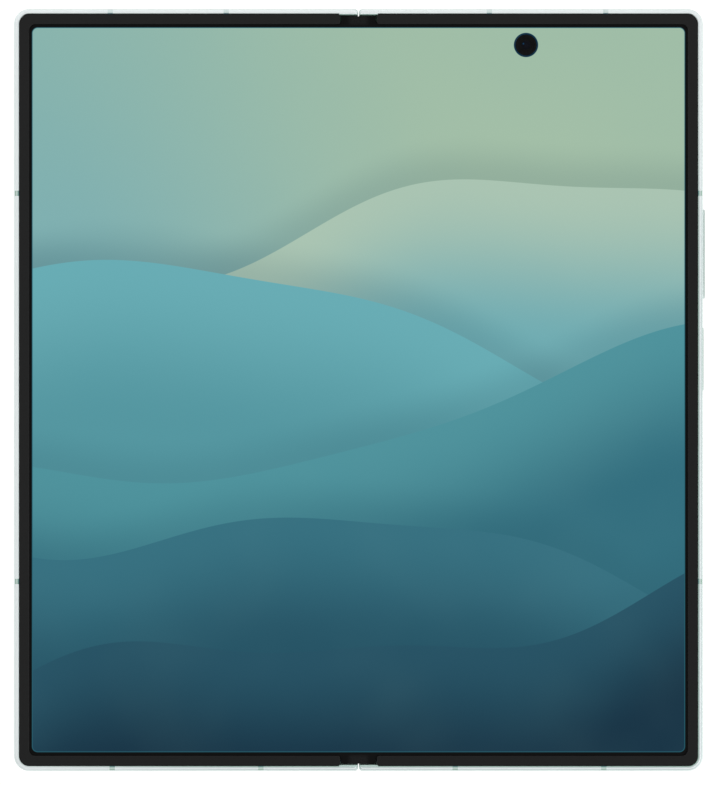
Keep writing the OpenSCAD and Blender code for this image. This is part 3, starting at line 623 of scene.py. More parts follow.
def flash_material(cx, cy):
    """Flash window: stepped rings over a square yellow emitter."""
    m = Nodes("flash_diffuser")
    tc = m.node("ShaderNodeTexCoord")
    sep = m.node("ShaderNodeSeparateXYZ")
    m.link(tc.outputs["Object"], sep.inputs[0])
    x = m.math("SUBTRACT", m.math("MULTIPLY", sep.outputs[0], 1000.0), cx)
    y = m.math("SUBTRACT", m.math("MULTIPLY", sep.outputs[1], 1000.0), cy)
    r = m.math("SQRT", m.math("ADD", m.math("MULTIPLY", x, x), m.math("MULTIPLY", y, y)))
    ring = m.math("FRACT", m.math("MULTIPLY", r, 3.2))
    led = m.smooth(m.math("MAXIMUM", m.math("ABSOLUTE", x), m.math("ABSOLUTE", y)), 0.98, 0.78)
    c = m.mix(led, srgb(214, 218, 208), srgb(238, 206, 104))
    c = m.mix(m.math("MULTIPLY", m.smooth(ring, 0.7, 0.95), 0.45), c, srgb(164, 158, 132))
    c = m.mix(m.smooth(r, 2.0, 2.2), c, srgb(120, 128, 124))
    m.link(c, m.bsdf.inputs["Base Color"])
    m.link(m.math("ADD", 0.16, m.math("MULTIPLY", m.noise(m.coords(), 1800.0, 2.0), 0.15)), m.bsdf.inputs["Roughness"])
    m.bump(ring, 0.5, 0.04 * MM)
    return m.mat


board_mat = board_material()
lens_mat = lens_glass("lens_glass", srgb(10, 12, 18), srgb(28, 44, 66))
lens2_mat = lens_glass("inner_lens", srgb(16, 16, 19), srgb(20, 20, 25), glint_spot=(-0.29, 0.16))
flash_mat = flash_material(59.5, 52.5)


def screen_material():
    """Lit screen: layered dunes of colour, black border and a thin dark edge, drawn in the sheet's own UV map (1 unit = 100 mm)."""
    m = Nodes("inner_screen")
    uv = m.node("ShaderNodeUVMap")
    uv.uv_map = "sheet"
    sep = m.node("ShaderNodeSeparateXYZ")
    m.link(uv.outputs[0], sep.inputs[0])
    x, y = sep.outputs[0], sep.outputs[1]

    def wave(base, slope, amp, freq, ph, amp2=0.0, freq2=0.0, ph2=0.0):
        s1 = m.math("MULTIPLY", m.math("SINE", m.math("ADD", m.math("MULTIPLY", x, freq), ph)), amp)
        s2 = m.math("MULTIPLY", m.math("SINE", m.math("ADD", m.math("MULTIPLY", x, freq2), ph2)), amp2)
        return m.math("ADD", m.math("ADD", base, m.math("MULTIPLY", x, slope)), m.math("ADD", s1, s2))

    # sky: pale aqua on the left to sage on the right, lighter near the skyline
    sky = m.mix(m.smooth(m.math("ADD", x, m.math("MULTIPLY", y, 0.35)), -0.55, 0.45), srgb(126, 175, 177), srgb(165, 191, 167))
    sky = m.mix(m.math("MULTIPLY", m.smooth(y, 0.2, 0.8), 0.35), sky, srgb(150, 186, 166))
    pic = sky
    layers = [
        # base, slope, amp, freq, phase, second wave,   crest colour, foot colour, depth
        (0.34, 0.10, 0.075, 4.2, 0.4, 0.02, 9.0, 1.0, srgb(170, 196, 178), srgb(112, 172, 178), 0.34),
        (0.13, -0.16, 0.085, 3.6, 2.4, 0.02, 8.0, 0.2, srgb(104, 172, 180), srgb(84, 150, 160), 0.34),
        (-0.08, 0.20, 0.070, 4.6, 5.2, 0.025, 7.4, 2.1, srgb(78, 146, 156), srgb(50, 110, 126), 0.32),
        (-0.33, -0.12, 0.080, 4.0, 1.1, 0.02, 8.6, 4.0, srgb(54, 112, 128), srgb(36, 80, 98), 0.30),
        (-0.52, 0.16, 0.060, 4.4, 3.6, 0.02, 9.4, 0.6, srgb(38, 82, 100), srgb(22, 51, 69), 0.26),
    ]
    for base, slope, amp, freq, ph, amp2, freq2, ph2, crest, foot, depth in layers:
        edge = wave(base, slope, amp, freq, ph, amp2, freq2, ph2)
        below = m.math("SUBTRACT", edge, y)
        shade = m.mix(m.smooth(below, 0.0, depth), crest, foot)
        # soft cast shade just above each crest gives the layers depth
        cast = m.math("MULTIPLY", m.smooth(below, -0.10, 0.0), 0.22)
        pic = m.mix(cast, pic, srgb(40, 92, 108))
        pic = m.mix(m.smooth(below, -0.0006, 0.0006), pic, shade)
    # fine drift so that no area is one flat tone
    gr = m.noise(uv.outputs[0], 3.0, 2.0)
    pic = m.mix(m.math("MULTIPLY", m.smooth(gr, 0.35, 0.75), 0.04), pic, srgb(110, 160, 165))

    # lit area: rounded rectangle by signed distance
    ax = m.math("SUBTRACT", m.math("ABSOLUTE", x), 0.679 - 0.012)
    ay = m.math("SUBTRACT", m.math("ABSOLUTE", m.math("SUBTRACT", y, 0.0005)), 0.7535 - 0.012)
    qx, qy = m.math("MAXIMUM", ax, 0.0), m.math("MAXIMUM", ay, 0.0)
    d = m.math("SUBTRACT", m.math("SQRT", m.math("ADD", m.math("MULTIPLY", qx, qx), m.math("MULTIPLY", qy, qy))), 0.012)
    d = m.math("ADD", d, m.math("MINIMUM", m.math("MAXIMUM", ax, ay), 0.0))
    lit = m.smooth(d, 0.0006, -0.0006)
    lit_in = m.smooth(d, -0.0006, -0.0022)
    pic = m.mix(lit_in, srgb(40, 98, 112), pic)
    hx, hy = m.math("SUBTRACT", x, 0.3483), m.math("SUBTRACT", y, 0.7174)
    hr = m.math("SQRT", m.math("ADD", m.math("MULTIPLY", hx, hx), m.math("MULTIPLY", hy, hy)))
    pic = m.mix(m.smooth(hr, 0.0257, 0.0250), pic, srgb(14, 62, 84))
    emit = m.mix(lit, srgb(0, 0, 0), pic)
    base = m.mix(lit, srgb(6, 6, 6), srgb(2, 3, 3))
    # the strip over the hinge is a touch lighter and speckled near the sheet's top and bottom ends
    mid = m.math("MULTIPLY", m.smooth(m.math("ABSOLUTE", x), 0.026, 0.012), m.smooth(m.math("ABSOLUTE", y), 0.7560, 0.7640))
    gr2 = m.smooth(m.noise(uv.outputs[0], 420.0, 2.0), 0.35, 0.65)
    base = m.mix(m.math("MULTIPLY", mid, m.math("ADD", 0.3, m.math("MULTIPLY", gr2, 0.7))), base, srgb(30, 30, 30))
    m.link(base, m.bsdf.inputs["Base Color"])
    m.link(emit, m.bsdf.inputs["Emission Color"])
    m.bsdf.inputs["Emission Strength"].default_value = 1.0
    m.link(m.math("ADD", 0.16, m.math("MULTIPLY", m.math("SUBTRACT", 1.0, lit), 0.3)), m.bsdf.inputs["Roughness"])
    m.bsdf.inputs["Specular IOR Level"].default_value = 0.16
    return m.mat


screen_mat = screen_material()

# ------------------------------------------------------------------- frames

R_OUT = 3.1
# rim section: n runs inwards from the outer face, height t above the back plane
SECTION = (
    [(1.0, 0.10), (0.90, 0.0)]
    + [(0.62 - 0.62 * math.sin(math.radians(a)), 0.74 - 0.74 * math.cos(math.radians(a))) for a in range(0, 91, 9)]
    + [(0.0, 1.5), (0.0, 2.4)]
    + [(0.62 - 0.62 * math.cos(math.radians(a)), 3.36 + 0.84 * math.sin(math.radians(a))) for a in range(0, 91, 9)]
    + [(0.86, 4.2), (0.94, 4.17), (1.0, 4.10), (1.04, 4.0), (1.04, 3.9), (2.0, 3.9), (2.0, 0.5), (1.0, 0.5)]
)


def rim_path(x0):
    """(point, outward normal) pairs from the upper fold end round the outer side to the lower fold end."""
    p = [((x0, HY), (0, 1)), ((4.0, HY), (0, 1)), ((20, HY), (0, 1)), ((44, HY), (0, 1)), ((62, HY), (0, 1))]
    for a in range(0, 91, 5):
        c, s = math.cos(math.radians(90 - a)), math.sin(math.radians(90 - a))
        p.append(((HX - R_OUT + R_OUT * c, HY - R_OUT + R_OUT * s), (c, s)))
    for y in (60, 30, 0, -30, -60):
        p.append(((HX, y), (1, 0)))
    for a in range(0, 91, 5):
        c, s = math.cos(math.radians(-a)), math.sin(math.radians(-a))
        p.append(((HX - R_OUT + R_OUT * c, -HY + R_OUT + R_OUT * s), (c, s)))
    p += [((62, -HY), (0, -1)), ((44, -HY), (0, -1)), ((20, -HY), (0, -1)), ((4.0, -HY), (0, -1)), ((x0, -HY), (0, -1))]
    return p


def sweep_geo(path, section):
    rings = [[(p[0] - nn * n[0], p[1] - nn * n[1], t(z)) for nn, z in section] for p, n in path]
    return skin(rings)


def prism_y(loop, y0, y1):
    """Loop in (x, t) extruded along Y."""
    return [( [ (p[0], y0, t(p[1])) for p in loop], [ (p[0], y1, t(p[1])) for p in loop])]


def loft_y(sections):
    """Solid through loops [(y, [(x, t)...])...]."""
    return skin([[(p[0], y, t(p[1])) for p in loop] for y, loop in sections])


def loft_x(sections):
    return skin([[(x, p[0], t(p[1])) for p in loop] for x, loop in sections])


def hole_y(side, cx, ct, w, h, r, depth, flare=0.10, n=6):
    """Cutter for an opening in the top (side 1) or bottom (side -1) edge, with a small countersink at the face."""
    def lp(g):
        return rr(cx - w / 2 - g, ct - h / 2 - g, cx + w / 2 + g, ct + h / 2 + g, r + g, n)
    y = side * HY
    return loft_y([(y + side * 0.8, lp(flare + 0.8)), (y, lp(flare)), (y - side * flare, lp(0.0)), (y - side * depth, lp(0.0))])


def hole_x(cy, ct, w, h, r, depth, flare=0.08, n=8):
    def lp(g):
        return rr(cy - w / 2 - g, ct - h / 2 - g, cy + w / 2 + g, ct + h / 2 + g, r + g, n)
    return loft_x([(HX + 0.8, lp(flare + 0.8)), (HX, lp(flare)), (HX - flare, lp(0.0)), (HX - depth, lp(0.0))])


def cutter(geo, name="cutter"):
    return make(name, geo[0], geo[1], None, 0)


def rim_steps():
    """The rim is 0.2 mm wider beside the fold, with slanted ends."""
    geos = []
    for s in (1, -1):
        loop = [(0.125, s * (HY - 1.0)), (4.28, s * (HY - 1.0)), (3.88, s * (HY - 1.2)), (0.125, s * (HY - 1.2))]
        if s > 0:
            loop = loop[::-1]
        geos.append(plate_geo(loop, t(2.2), t(4.13), 0, 0.05, 2))
    return geos


def tip_cutters():
    """Round the fold ends: in plan (r 0.7) and by the arc that lets the halves pass."""
    out = []
    for s in (1, -1):
        r = 0.72
        x0, y0 = 0.125, HY
        corner = [(x0 - 1, y0 + 1), (x0 - 1, y0 - r)] + [(x0 + r - r * math.cos(math.radians(a)), y0 - r + r * math.sin(math.radians(a))) for a in range(0, 91, 7)] + [(x0 + r + 0.0, y0 + 1)]
        corner = [(x, s * y) for x, y in corner]
        if s < 0:
            corner = corner[::-1]
        # clockwise to counter-clockwise
        area = sum(a[0] * b[1] - b[0] * a[1] for a, b in zip(corner, corner[1:] + corner[:1]))
        if area < 0:
            corner = corner[::-1]
        out.append(plate_geo(corner, t(-1), t(6)))
        out.append(boxg(-1, min(s * (HY - 1.25), s * (HY - 2.2)), t(2.2), 3.86, max(s * (HY - 1.25), s * (HY - 2.2)), t(6)))
        rc = 1.04
        lp = [(-1.0, AT), (AX - rc, AT)] + [(AX - rc * math.cos(math.radians(a)), AT + rc * math.sin(math.radians(a))) for a in range(6, 63, 4)]
        lp += [(AX - rc * math.cos(math.radians(62.6)), 5.5), (-1.0, 5.5)]
        out.append(loft_y([(s * (HY - 3.0), lp), (s * (HY + 1.0), lp)]))
    return out


BANDS = {1: ((27.2, 51.4), (20.1, 51.0)), -1: ((27.5, 51.6), (20.3, 51.2))}
SIDE_BANDS = (40.9, -39.8)


def band_boxes(side, g=0.0):
    w = 0.55
    tops, bots = BANDS[side]
    geos = [boxg(x - w, HY - 1.2, t(-1), x + w, HY + 1, t(6)) for x in tops]
    geos += [boxg(x - w, -HY - 1, t(-1), x + w, -HY + 1.2, t(6)) for x in bots]
    geos += [boxg(HX - 1.2, y - w, t(-1), HX + 1, y + w, t(6)) for y in SIDE_BANDS]
    return geos


def mirror_obj(o):
    """Mirror the finished mesh across the fold plane."""
    o.data.transform(FLIPX)
    o.data.flip_normals()
    return o


def build_rim(side):
    tag = "right" if side > 0 else "left"
    path = rim_path(0.125)
    rim = cutter(sweep_geo(path, SECTION), f"rim_{tag}")
    boolean(rim, [cutter(g) for g in rim_steps()], "UNION")
    bands = rim.copy()
    bands.data = rim.data.copy()
    bands.name = f"antenna_lines_{tag}"
    bpy.context.scene.collection.objects.link(bands)
    boolean(bands, [cutter(merge(band_boxes(side)))], "INTERSECT")
    cuts = [merge(band_boxes(side))]
    cuts += tip_cutters()
    if side > 0:
        cuts.append(hole_y(-1, 36, 1.9, 9.04, 2.9, 1.44, 3.0, 0.14, 8))
        cuts += [hole_y(-1, 55.6 + 2 * i, 2.1, 1.1, 1.1, 0.549, 3.0, 0.1, 6) for i in range(6)]
        cuts.append(hole_y(-1, 27, 2.1, 0.8, 0.8, 0.399, 3.0, 0.08, 5))
        cuts.append(hole_y(1, 41, 2.1, 0.8, 0.8, 0.399, 3.0, 0.08, 5))
        cuts.append(hole_x(28.3, 2.1, 18.6 + 0.22, 2.02, 1.0, 3.0))
        cuts.append(hole_x(6.4, 2.1, 13.2 + 0.22, 2.02, 1.0, 3.0))
    else:
        cuts.append(hole_y(-1, 35.7, 1.9, 16.1, 1.4, 0.69, 3.0, 0.05, 6))
        cuts += [hole_y(1, 54.4 + 2 * i, 2.1, 1.0, 1.0, 0.499, 3.0, 0.1, 6) for i in range(5)]
        cuts.append(hole_y(-1, 15, 2.1, 0.8, 0.8, 0.399, 3.0, 0.08, 5))
    boolean(rim, [cutter(g) for g in cuts])
    for o, mat in ((rim, frame_mat), (bands, band_mat)):
        tidy(o)
        if side < 0:
            mirror_obj(o)
        finish_mesh(o, mat, 28)
        weighted(o)
        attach(o, f"{tag}_half")
    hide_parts(f"frame_{tag}")
    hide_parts(f"antenna_bands_{tag}")
    return rim


def build_midframe(side):
    """Hinge-side rail seen on the back, wall, shelf and the plate under the screen."""
    tag = "right" if side > 0 else "left"
    M = None if side > 0 else FLIPX
    # rail along the fold on the back, with its outer edge rounded
    rail = plate(f"hinge_rail_{tag}", rr(0.125, -PY - 0.9, 5.05, PY + 0.9, [0.0, 0, 0, 0.0]), t(0.0), t(0.5), 0.10, 0.0, rail_mat, k=3, M=M)
    inner = make(f"midframe_{tag}", *merge([
        boxg(4.3, -PY + 0.05, t(0.5), 5.1, -6.1, t(2.5)), boxg(4.3, 6.1, t(0.5), 5.1, PY - 0.05, t(2.5)), boxg(4.3, -6.0, t(0.5), 5.1, 6.0, t(1.98)),
        boxg(5.12, -PY + 0.05, t(2.1), 6.98, -6.1, t(2.5)), boxg(5.12, 6.1, t(2.1), 6.98, PY - 0.05, t(2.5)),
    ]), rail_mat, 30, M)
    holes = [rr(6.9, s * 50 - 7.2, 14.0, s * 50 + 7.2, 0.5, 3) for s in (1, -1)] + [rr(6.9, -5.2, 14.2, 5.2, 0.5, 3)]
    if side > 0:
        holes.append(circle(34.83, 71.74, 2.6, 32))
    mid = plate(f"middle_plate_{tag}", rr(6.62, -PY + 0.02, 67.3 if side > 0 else PX - 0.02, PY - 0.02, [0, 1.0, 1.0, 0], 4), t(2.76), t(3.14), 0, 0, rail_mat,
                holes=holes if side < 0 else holes, M=M)
    pads = make(f"bracket_pads_{tag}", *merge([boxg(5.12, s * 50 - 8, t(1.5), 14.6, s * 50 + 8, t(2.09)) for s in (1, -1)]
                + [boxg(7.0, s * 50 - 8, t(2.1), 14.6, s * 50 + 8, t(2.49)) for s in (1, -1)]), rail_mat, 30, M)
    for o in (rail, inner, mid, pads):
        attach(o, f"{tag}_half")
        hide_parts(f"frame_{tag}")


rim_right = build_rim(1)
rim_left = build_rim(-1)
build_midframe(1)
build_midframe(-1)

# -------------------------------------------------------------- back panels

LENS = [(45.5, 66.0), (45.5, 51.5), (59.5, 66.0)]
FLASH = (59.5, 52.5)

glass_loop = rr(5.13, -78.14, 70.55, 78.14, [0.6, 2.06, 2.06, 0.6], 12)
rear = plate("rear_glass_panel", glass_loop, t(0.0), t(0.48), 0.16, 0.0, back_mat, holes=[rr(37.93, 42.43, 67.07, 74.07, 8.0, 14)], hr=0.03, k=4)
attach(rear, "right_half")
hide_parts("rear_glass")

cover = plate("cover_glass_panel", glass_loop, t(0.0), t(0.48), 0.16, 0.0, cover_mat, k=5, M=FLIPX)
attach(cover, "left_half")
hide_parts("cover_glass")

# camera island: soft-edged block, with a round opening, its edges softened, at each lens, at the flash and a small hole
# below it
isl_loop = rr(38, 42.5, 67, 74, 8.0, 16)
isl_holes = [circle(p[0], p[1], 5.41, 72) for p in LENS] + [circle(FLASH[0], FLASH[1], 2.42, 40), circle(FLASH[0], FLASH[1] - 5.2, 0.4, 20)]
island = plate("camera_island_body", isl_loop, t(-1.6), t(0.45), 0.55, 0.0, island_mat, holes=isl_holes, hr=0.09, k=8)
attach(island, "right_half")
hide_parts("camera_island")

parts = []
for i, p in enumerate(LENS):
    ring = lathe(f"lens_ring_{i + 1}", [(4.42, t(-0.4)), (4.42, t(-1.72)), (4.46, t(-1.98)), (4.62, t(-2.13)), (4.74, t(-2.18)), (4.88, t(-2.2)), (5.1, t(-2.19)), (5.24, t(-2.14)),
                                        (5.33, t(-2.05)), (5.37, t(-1.9)), (5.37, t(-0.4))], (p[0], p[1], 0), ring_mat, 96)
    glass = lathe(f"lens_cover_{i + 1}", [(0, t(-2.02)), (1.5, t(-2.02)), (3.2, t(-2.01)), (4.1, t(-1.99)), (4.38, t(-1.93)), (4.38, t(-1.5)), (0, t(-1.5))], (p[0], p[1], 0), lens_mat, 72)
    # the glass is dark: the lens stack is modelled on its face as fine steps and a domed front element
    stack = lathe(f"lens_stack_{i + 1}", [(3.55, t(-2.035)), (3.5, t(-2.05)), (2.85, t(-2.05)), (2.8, t(-2.035)), (2.75, t(-2.03)), (2.75, t(-1.98)), (3.55, t(-1.98))], (p[0], p[1], 0), barrel_mat, 72)
    dome = lathe(f"lens_dome_{i + 1}", [(0, t(-2.12)), (0.5, t(-2.115)), (1.0, t(-2.10)), (1.4, t(-2.075)), (1.7, t(-2.04)), (1.8, t(-2.0)), (1.8, t(-1.95)), (0, t(-1.95))], (p[0], p[1], 0), lens_mat, 64)
    barrel = make(f"camera_module_{i + 1}", *merge([
        lathe_geo([(0, 0), (4.3, 0), (4.3, 1.98), (0, 1.98)], 48)]), barrel_mat, 30, Matrix.Translation((p[0], p[1], t(-1.4))))
    base = plate(f"camera_base_{i + 1}", rr(p[0] - 5.2, p[1] - 5.2, p[0] + 5.2, p[1] + 5.2, 0.8, 5), t(0.6), t(2.7), 0.0, 0.15, black_mat)
    for o, n, s in ((ring, "camera_rings", "ring_metal"), (glass, "camera_lenses", "lens"), (stack, "camera_lenses", "lens"), (dome, "camera_lenses", "lens"),
                    (barrel, "camera_modules", "module_black"), (base, "camera_modules", "module_black")):
        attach(o, "right_half")
        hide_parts(n)

flash = lathe("flash_window", [(0, t(-1.57)), (1.6, t(-1.565)), (2.1, t(-1.55)), (2.36, t(-1.48)), (2.38, t(-1.3)), (2.38, t(0.45)), (0, t(0.45))], (FLASH[0], FLASH[1], 0), flash_mat, 48)
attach(flash, "right_half")
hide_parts("flash_led")

# ------------------------------------------------------------ screen border


def bezel_loop():
    r = 0.55
    x0 = 3.8
    lp = []
    lp += arc(x0 + r, -BY + r, r, 180, 270, 6)
    lp += arc(BX - 2.05, -BY + 2.05, 2.05, 270, 360, 14)
    lp += arc(BX - 2.05, BY - 2.05, 2.05, 0, 90, 14)
    lp += arc(x0 + r, BY - r, r, 90, 180, 6)
    lp += arc(x0 + r, IY + r, r, 180, 270, 6)
    lp += [(IX - 1.2 + 1.2 * math.cos(math.radians(a)), IY - 1.2 + 1.2 * math.sin(math.radians(a))) for a in range(90, -1, -9)]
    lp += [(IX - 1.2 + 1.2 * math.cos(math.radians(a)), -IY + 1.2 + 1.2 * math.sin(math.radians(a))) for a in range(0, -91, -9)]
    lp += arc(x0 + r, -IY - r, r, 90, 180, 6)
    return lp


for side, tag in ((1, "right"), (-1, "left")):
    b = plate(f"screen_border_{tag}", bezel_loop(), t(3.9), t(4.195), 0.0, 0.13, bezel_mat, k=5, M=None if side > 0 else FLIPX)
    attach(b, f"{tag}_half")
    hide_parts(f"bezel_{tag}")

# --------------------------------------------------------------- the screen


def sheet_solid(name, xs, ys, inside, z0, z1, mat):
    """Flexible sheet on a grid of cells, closed on all sides; its UV map, in units of 100 mm, comes from add_uv."""
    nx, ny = len(xs), len(ys)
    top, bot, verts, faces = {}, {}, [], []

    def vid(d, i, j, z):
        if (i, j) not in d:
            d[(i, j)] = len(verts)
            verts.append((xs[i], ys[j], z))
        return d[(i, j)]
    cells = {(i, j) for i in range(nx - 1) for j in range(ny - 1) if inside((xs[i] + xs[i + 1]) / 2, (ys[j] + ys[j + 1]) / 2)}
    for i, j in cells:
        faces.append((vid(top, i, j, z1), vid(top, i + 1, j, z1), vid(top, i + 1, j + 1, z1), vid(top, i, j + 1, z1)))
        faces.append((vid(bot, i, j, z0), vid(bot, i, j + 1, z0), vid(bot, i + 1, j + 1, z0), vid(bot, i + 1, j, z0)))
    for i, j in cells:
        for (di, dj), (a, b) in (((-1, 0), ((i, j + 1), (i, j))), ((1, 0), ((i + 1, j), (i + 1, j + 1))), ((0, -1), ((i, j), (i + 1, j))), ((0, 1), ((i + 1, j + 1), (i, j + 1)))):
            if (i + di, j + dj) not in cells:
                faces.append((bot[a], bot[b], top[b], top[a]))
    return make(name, verts, faces, mat, 40)


def add_uv(o):
    uv = o.data.uv_layers.new(name="sheet")
    for lp in o.data.loops:
        co = o.data.vertices[lp.vertex_index].co
        uv.data[lp.index].uv = (co.x * 10, co.y * 10)


xs_r = [0.0] + [0.2 * i for i in range(1, 31)] + [7.0, 9.0, 14.0, 24.0, 40.0, 55.0, 69.25]
ys_all = [-77.7, -77.0, -76.55, -76.0, -60, -40, -20, 0, 20, 40, 60, 76.0, 76.55, 77.0, 77.7]


def inside_sheet(x, y):
    return abs(y) < 76.55 or abs(x) < 3.6


for side, tag in ((1, "right"), (-1, "left")):
    xs = xs_r if side > 0 else [-x for x in reversed(xs_r)]
    o = sheet_solid(f"inner_screen_{tag}", xs, ys_all, inside_sheet, t(3.36), t(3.895), screen_mat)
    if side > 0:
        boolean(o, [cutter(plate_geo(circle(34.83, 71.74, 2.47, 96), t(3), t(5)))])
        tidy(o)
        finish_mesh(o, screen_mat, 40)
    add_uv(o)
    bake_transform(o)
    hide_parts(f"display_panel_{tag}", "display_fold_zone")

# inner camera: black well, stepped barrel and a small front element
cam = lathe("inner_camera_barrel", [(0, t(3.2)), (0.9, t(3.2)), (0.95, t(3.42)), (1.35, t(3.46)), (1.4, t(3.62)), (1.75, t(3.66)), (1.8, t(3.8)), (2.16, t(3.83)), (2.2, t(3.8)), (2.2, t(2.5)), (0, t(2.5))],
            (34.83, 71.74, 0), inner_barrel_mat, 72)
well = lathe("inner_camera_well", [(2.22, t(3.4)), (2.46, t(3.4)), (2.46, t(3.86)), (2.40, t(3.88)), (2.30, t(3.87)), (2.22, t(3.82))], (34.83, 71.74, 0), well_mat, 72)
eye = lathe("inner_camera_glass", [(0, t(3.47)), (0.4, t(3.46)), (0.75, t(3.42)), (0.92, t(3.36)), (0.92, t(3.22)), (0, t(3.22))], (34.83, 71.74, 0), lens2_mat, 48)
cbase = plate("inner_camera_base", rr(34.83 - 3.4, 71.74 - 3.4, 34.83 + 3.4, 71.74 + 3.4, 0.6, 4), t(0.7), t(2.48), 0, 0.1, black_mat)
for o in (cam, well, eye, cbase):
    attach(o, "right_half")
    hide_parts("inner_camera")

# --------------------------------------------------------------------- keys


def key_piece(name, body, node, cy, ln, out, gap, mat):
    cap = plate_geo(rr(cy - ln / 2, t(1.2), cy + ln / 2, t(3.0), 0.88, 10), PX - gap - 0.1, HX + out, 0.0, 0.22, 6)
    flange = plate_geo(rr(cy - ln / 2 - 0.6, t(1.0), cy + ln / 2 + 0.6, t(2.9), 0.3, 3), PX - gap - 0.45, PX - gap - 0.1, 0, 0)
    o = weighted(make(name, *merge([cap, flange]), mat, 30, ALONG_X))
    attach(o, body)
    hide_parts(node)


key_piece("volume_key_cap", "volume_rocker", "volume_rocker", 28.3, 18.6, 0.42, 0.24, volume_mat)
key_piece("power_key_cap", "power_key", "power_key", 6.4, 13.2, 0.18, 0.1, power_mat)

# ------------------------------------------------------ port, grilles, tray


def stadium(cx, ct, w, h, r, n=8):
    return rr(cx - w / 2, t(ct) - h / 2, cx + w / 2, t(ct) + h / 2, r, n)


shell = plate("port_shell", stadium(36, 1.9, 8.94, 2.8, 1.38), -78.95, -71.3, 0, 0, port_mat, holes=[stadium(36, 1.9, 8.34, 2.56, 1.26)], hr=0.03, M=ALONG_Y)
back = plate("port_back", stadium(36, 1.9, 8.3, 2.5, 1.2), -72.2, -71.3, 0, 0, black_mat, M=ALONG_Y)
tongue = plate("port_tongue", rr(36 - 3.3, t(1.9) - 0.32, 36 + 3.3, t(1.9) + 0.32, 0.12, 3), -77.6, -72.2, 0.1, 0, black_mat, M=ALONG_Y)
pins = make("port_contacts", *merge([boxg(36 - 3.0 + 0.5 * i - 0.13, -77.3, t(1.9) + s * 0.32 - 0.02, 36 - 3.0 + 0.5 * i + 0.13, -74.0, t(1.9) + s * 0.32 + 0.02) for i in range(13) for s in (1, -1)]), gold_mat, 0)
for o in (shell, back, tongue, pins):
    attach(o, "right_half")
    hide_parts("usb_port")

grille_r = plate("speaker_mesh_right", rr(54.6, t(1.3), 66.6, t(2.68), 0.3, 3), -76.95, -76.65, 0, 0, mesh_mat, M=ALONG_Y)
spk = plate("bottom_speaker_box", rr(49, -76.6, 67, -58, 1.5, 6), t(0.7), t(2.68), 0.2, 0.1, black_mat)
for o in (grille_r, spk):
    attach(o, "right_half")
    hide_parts("bottom_speaker")
grille_l = plate("speaker_mesh_left", rr(53.4, t(1.3), 63.6, t(2.68), 0.3, 3), 76.5, 76.9, 0, 0, mesh_mat, M=FLIPX @ ALONG_Y)
spk_l = plate("top_speaker_box", rr(46, 60, 66, 76.4, 1.5, 6), t(1.2), t(2.68), 0.1, 0.1, black_mat, M=FLIPX)
for o in (grille_l, spk_l):
    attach(o, "left_half")
    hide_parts("top_speaker")

tray_face = plate("card_tray_face", rr(35.7 - 8, t(1.25), 35.7 + 8, t(2.55), 0.62, 8), -HY, -HY + 1.6, 0.10, 0.0, frame_mat,
                  holes=[circle(35.7 + 6.9, t(1.9), 0.3, 20)], hr=0.06, M=FLIPX @ ALONG_Y)
tray_body = plate("card_tray_body", rr(35.7 - 7.3, -HY + 1.5, 35.7 + 7.3, -56.5, [0.1, 0.1, 1.2, 1.2], 6), t(1.5), t(2.3), 0.08, 0.08, frame_mat,
                  holes=[rr(35.7 - 5.0, -73.3, 35.7 + 5.0, -59.6, 0.6, 5)], hr=0.05, M=FLIPX)
tray_ledge = plate("card_tray_ledge", rr(35.7 - 6.2, -74.5, 35.7 + 6.2, -58.2, [0.6, 0.6, 0.6, 2.2], 6), t(1.72), t(1.78), 0, 0, black_mat,
                   holes=[rr(35.7 - 5.0, -73.3, 35.7 + 5.0, -59.6, 0.6, 5)], hr=0.0, M=FLIPX)
for o in (tray_face, tray_body, tray_ledge):
    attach(o, "sim_tray")
    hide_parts("sim_tray")

# -------------------------------------------------------------------- spine


def trough(r, t1, n):
    w = math.degrees(math.asin((t1 - AT) / r))
    return arc(AX, AT, r, -90, w, n) + arc(-AX, AT, r, 180 - w, 270, n)


def trough_ring(r, t1, n, y):
    return [(x, y, t(z)) for x, z in trough(r, t1, n)]


def trough_shell(r_out, r_in, t1, n, y0, y1):
    """Open trough of even wall, one closed skin."""
    w = math.degrees(math.asin((t1 - AT) / r_out))
    w2 = math.degrees(math.asin((t1 - AT) / r_in))
    out = arc(-AX, AT, r_out, 180 - w, 270, n) + arc(AX, AT, r_out, -90, w, n)
    inn = arc(AX, AT, r_in, w2, -90, n) + arc(-AX, AT, r_in, 270, 180 - w2, n)
    loop = out + inn
    return skin([[(x, y, t(z)) for x, z in loop] for y in (y0, y1)])


SY = PY - 0.3
house = weighted(make("spine_housing", *trough_shell(2.6, 2.35, 2.5, 28, -SY + 0.6, SY - 0.6), spine_mat, 35))
ends = []
for s in (1, -1):
    rings = []
    for i in range(6):
        a = math.radians(90 * i / 5)
        r = 2.6 - 0.35 * (1 - math.cos(a))
        y = s * (SY - 0.6 + 0.35 * math.sin(a))
        rings.append(trough_ring(r, 2.5, 20, y))
    rings.append(trough_ring(1.6, 2.5, 20, s * (SY - 0.2)))
    v, f = skin([trough_ring(2.3, 2.45, 20, s * (SY - 1.2)), trough_ring(2.3, 2.45, 20, s * (SY - 0.62))] + rings)
    ends.append((v, f))
ecap = weighted(make("spine_ends", *merge(ends), spine_mat, 35))
for o in (house, ecap):
    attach(o, "spine")
    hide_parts("hinge_housing")
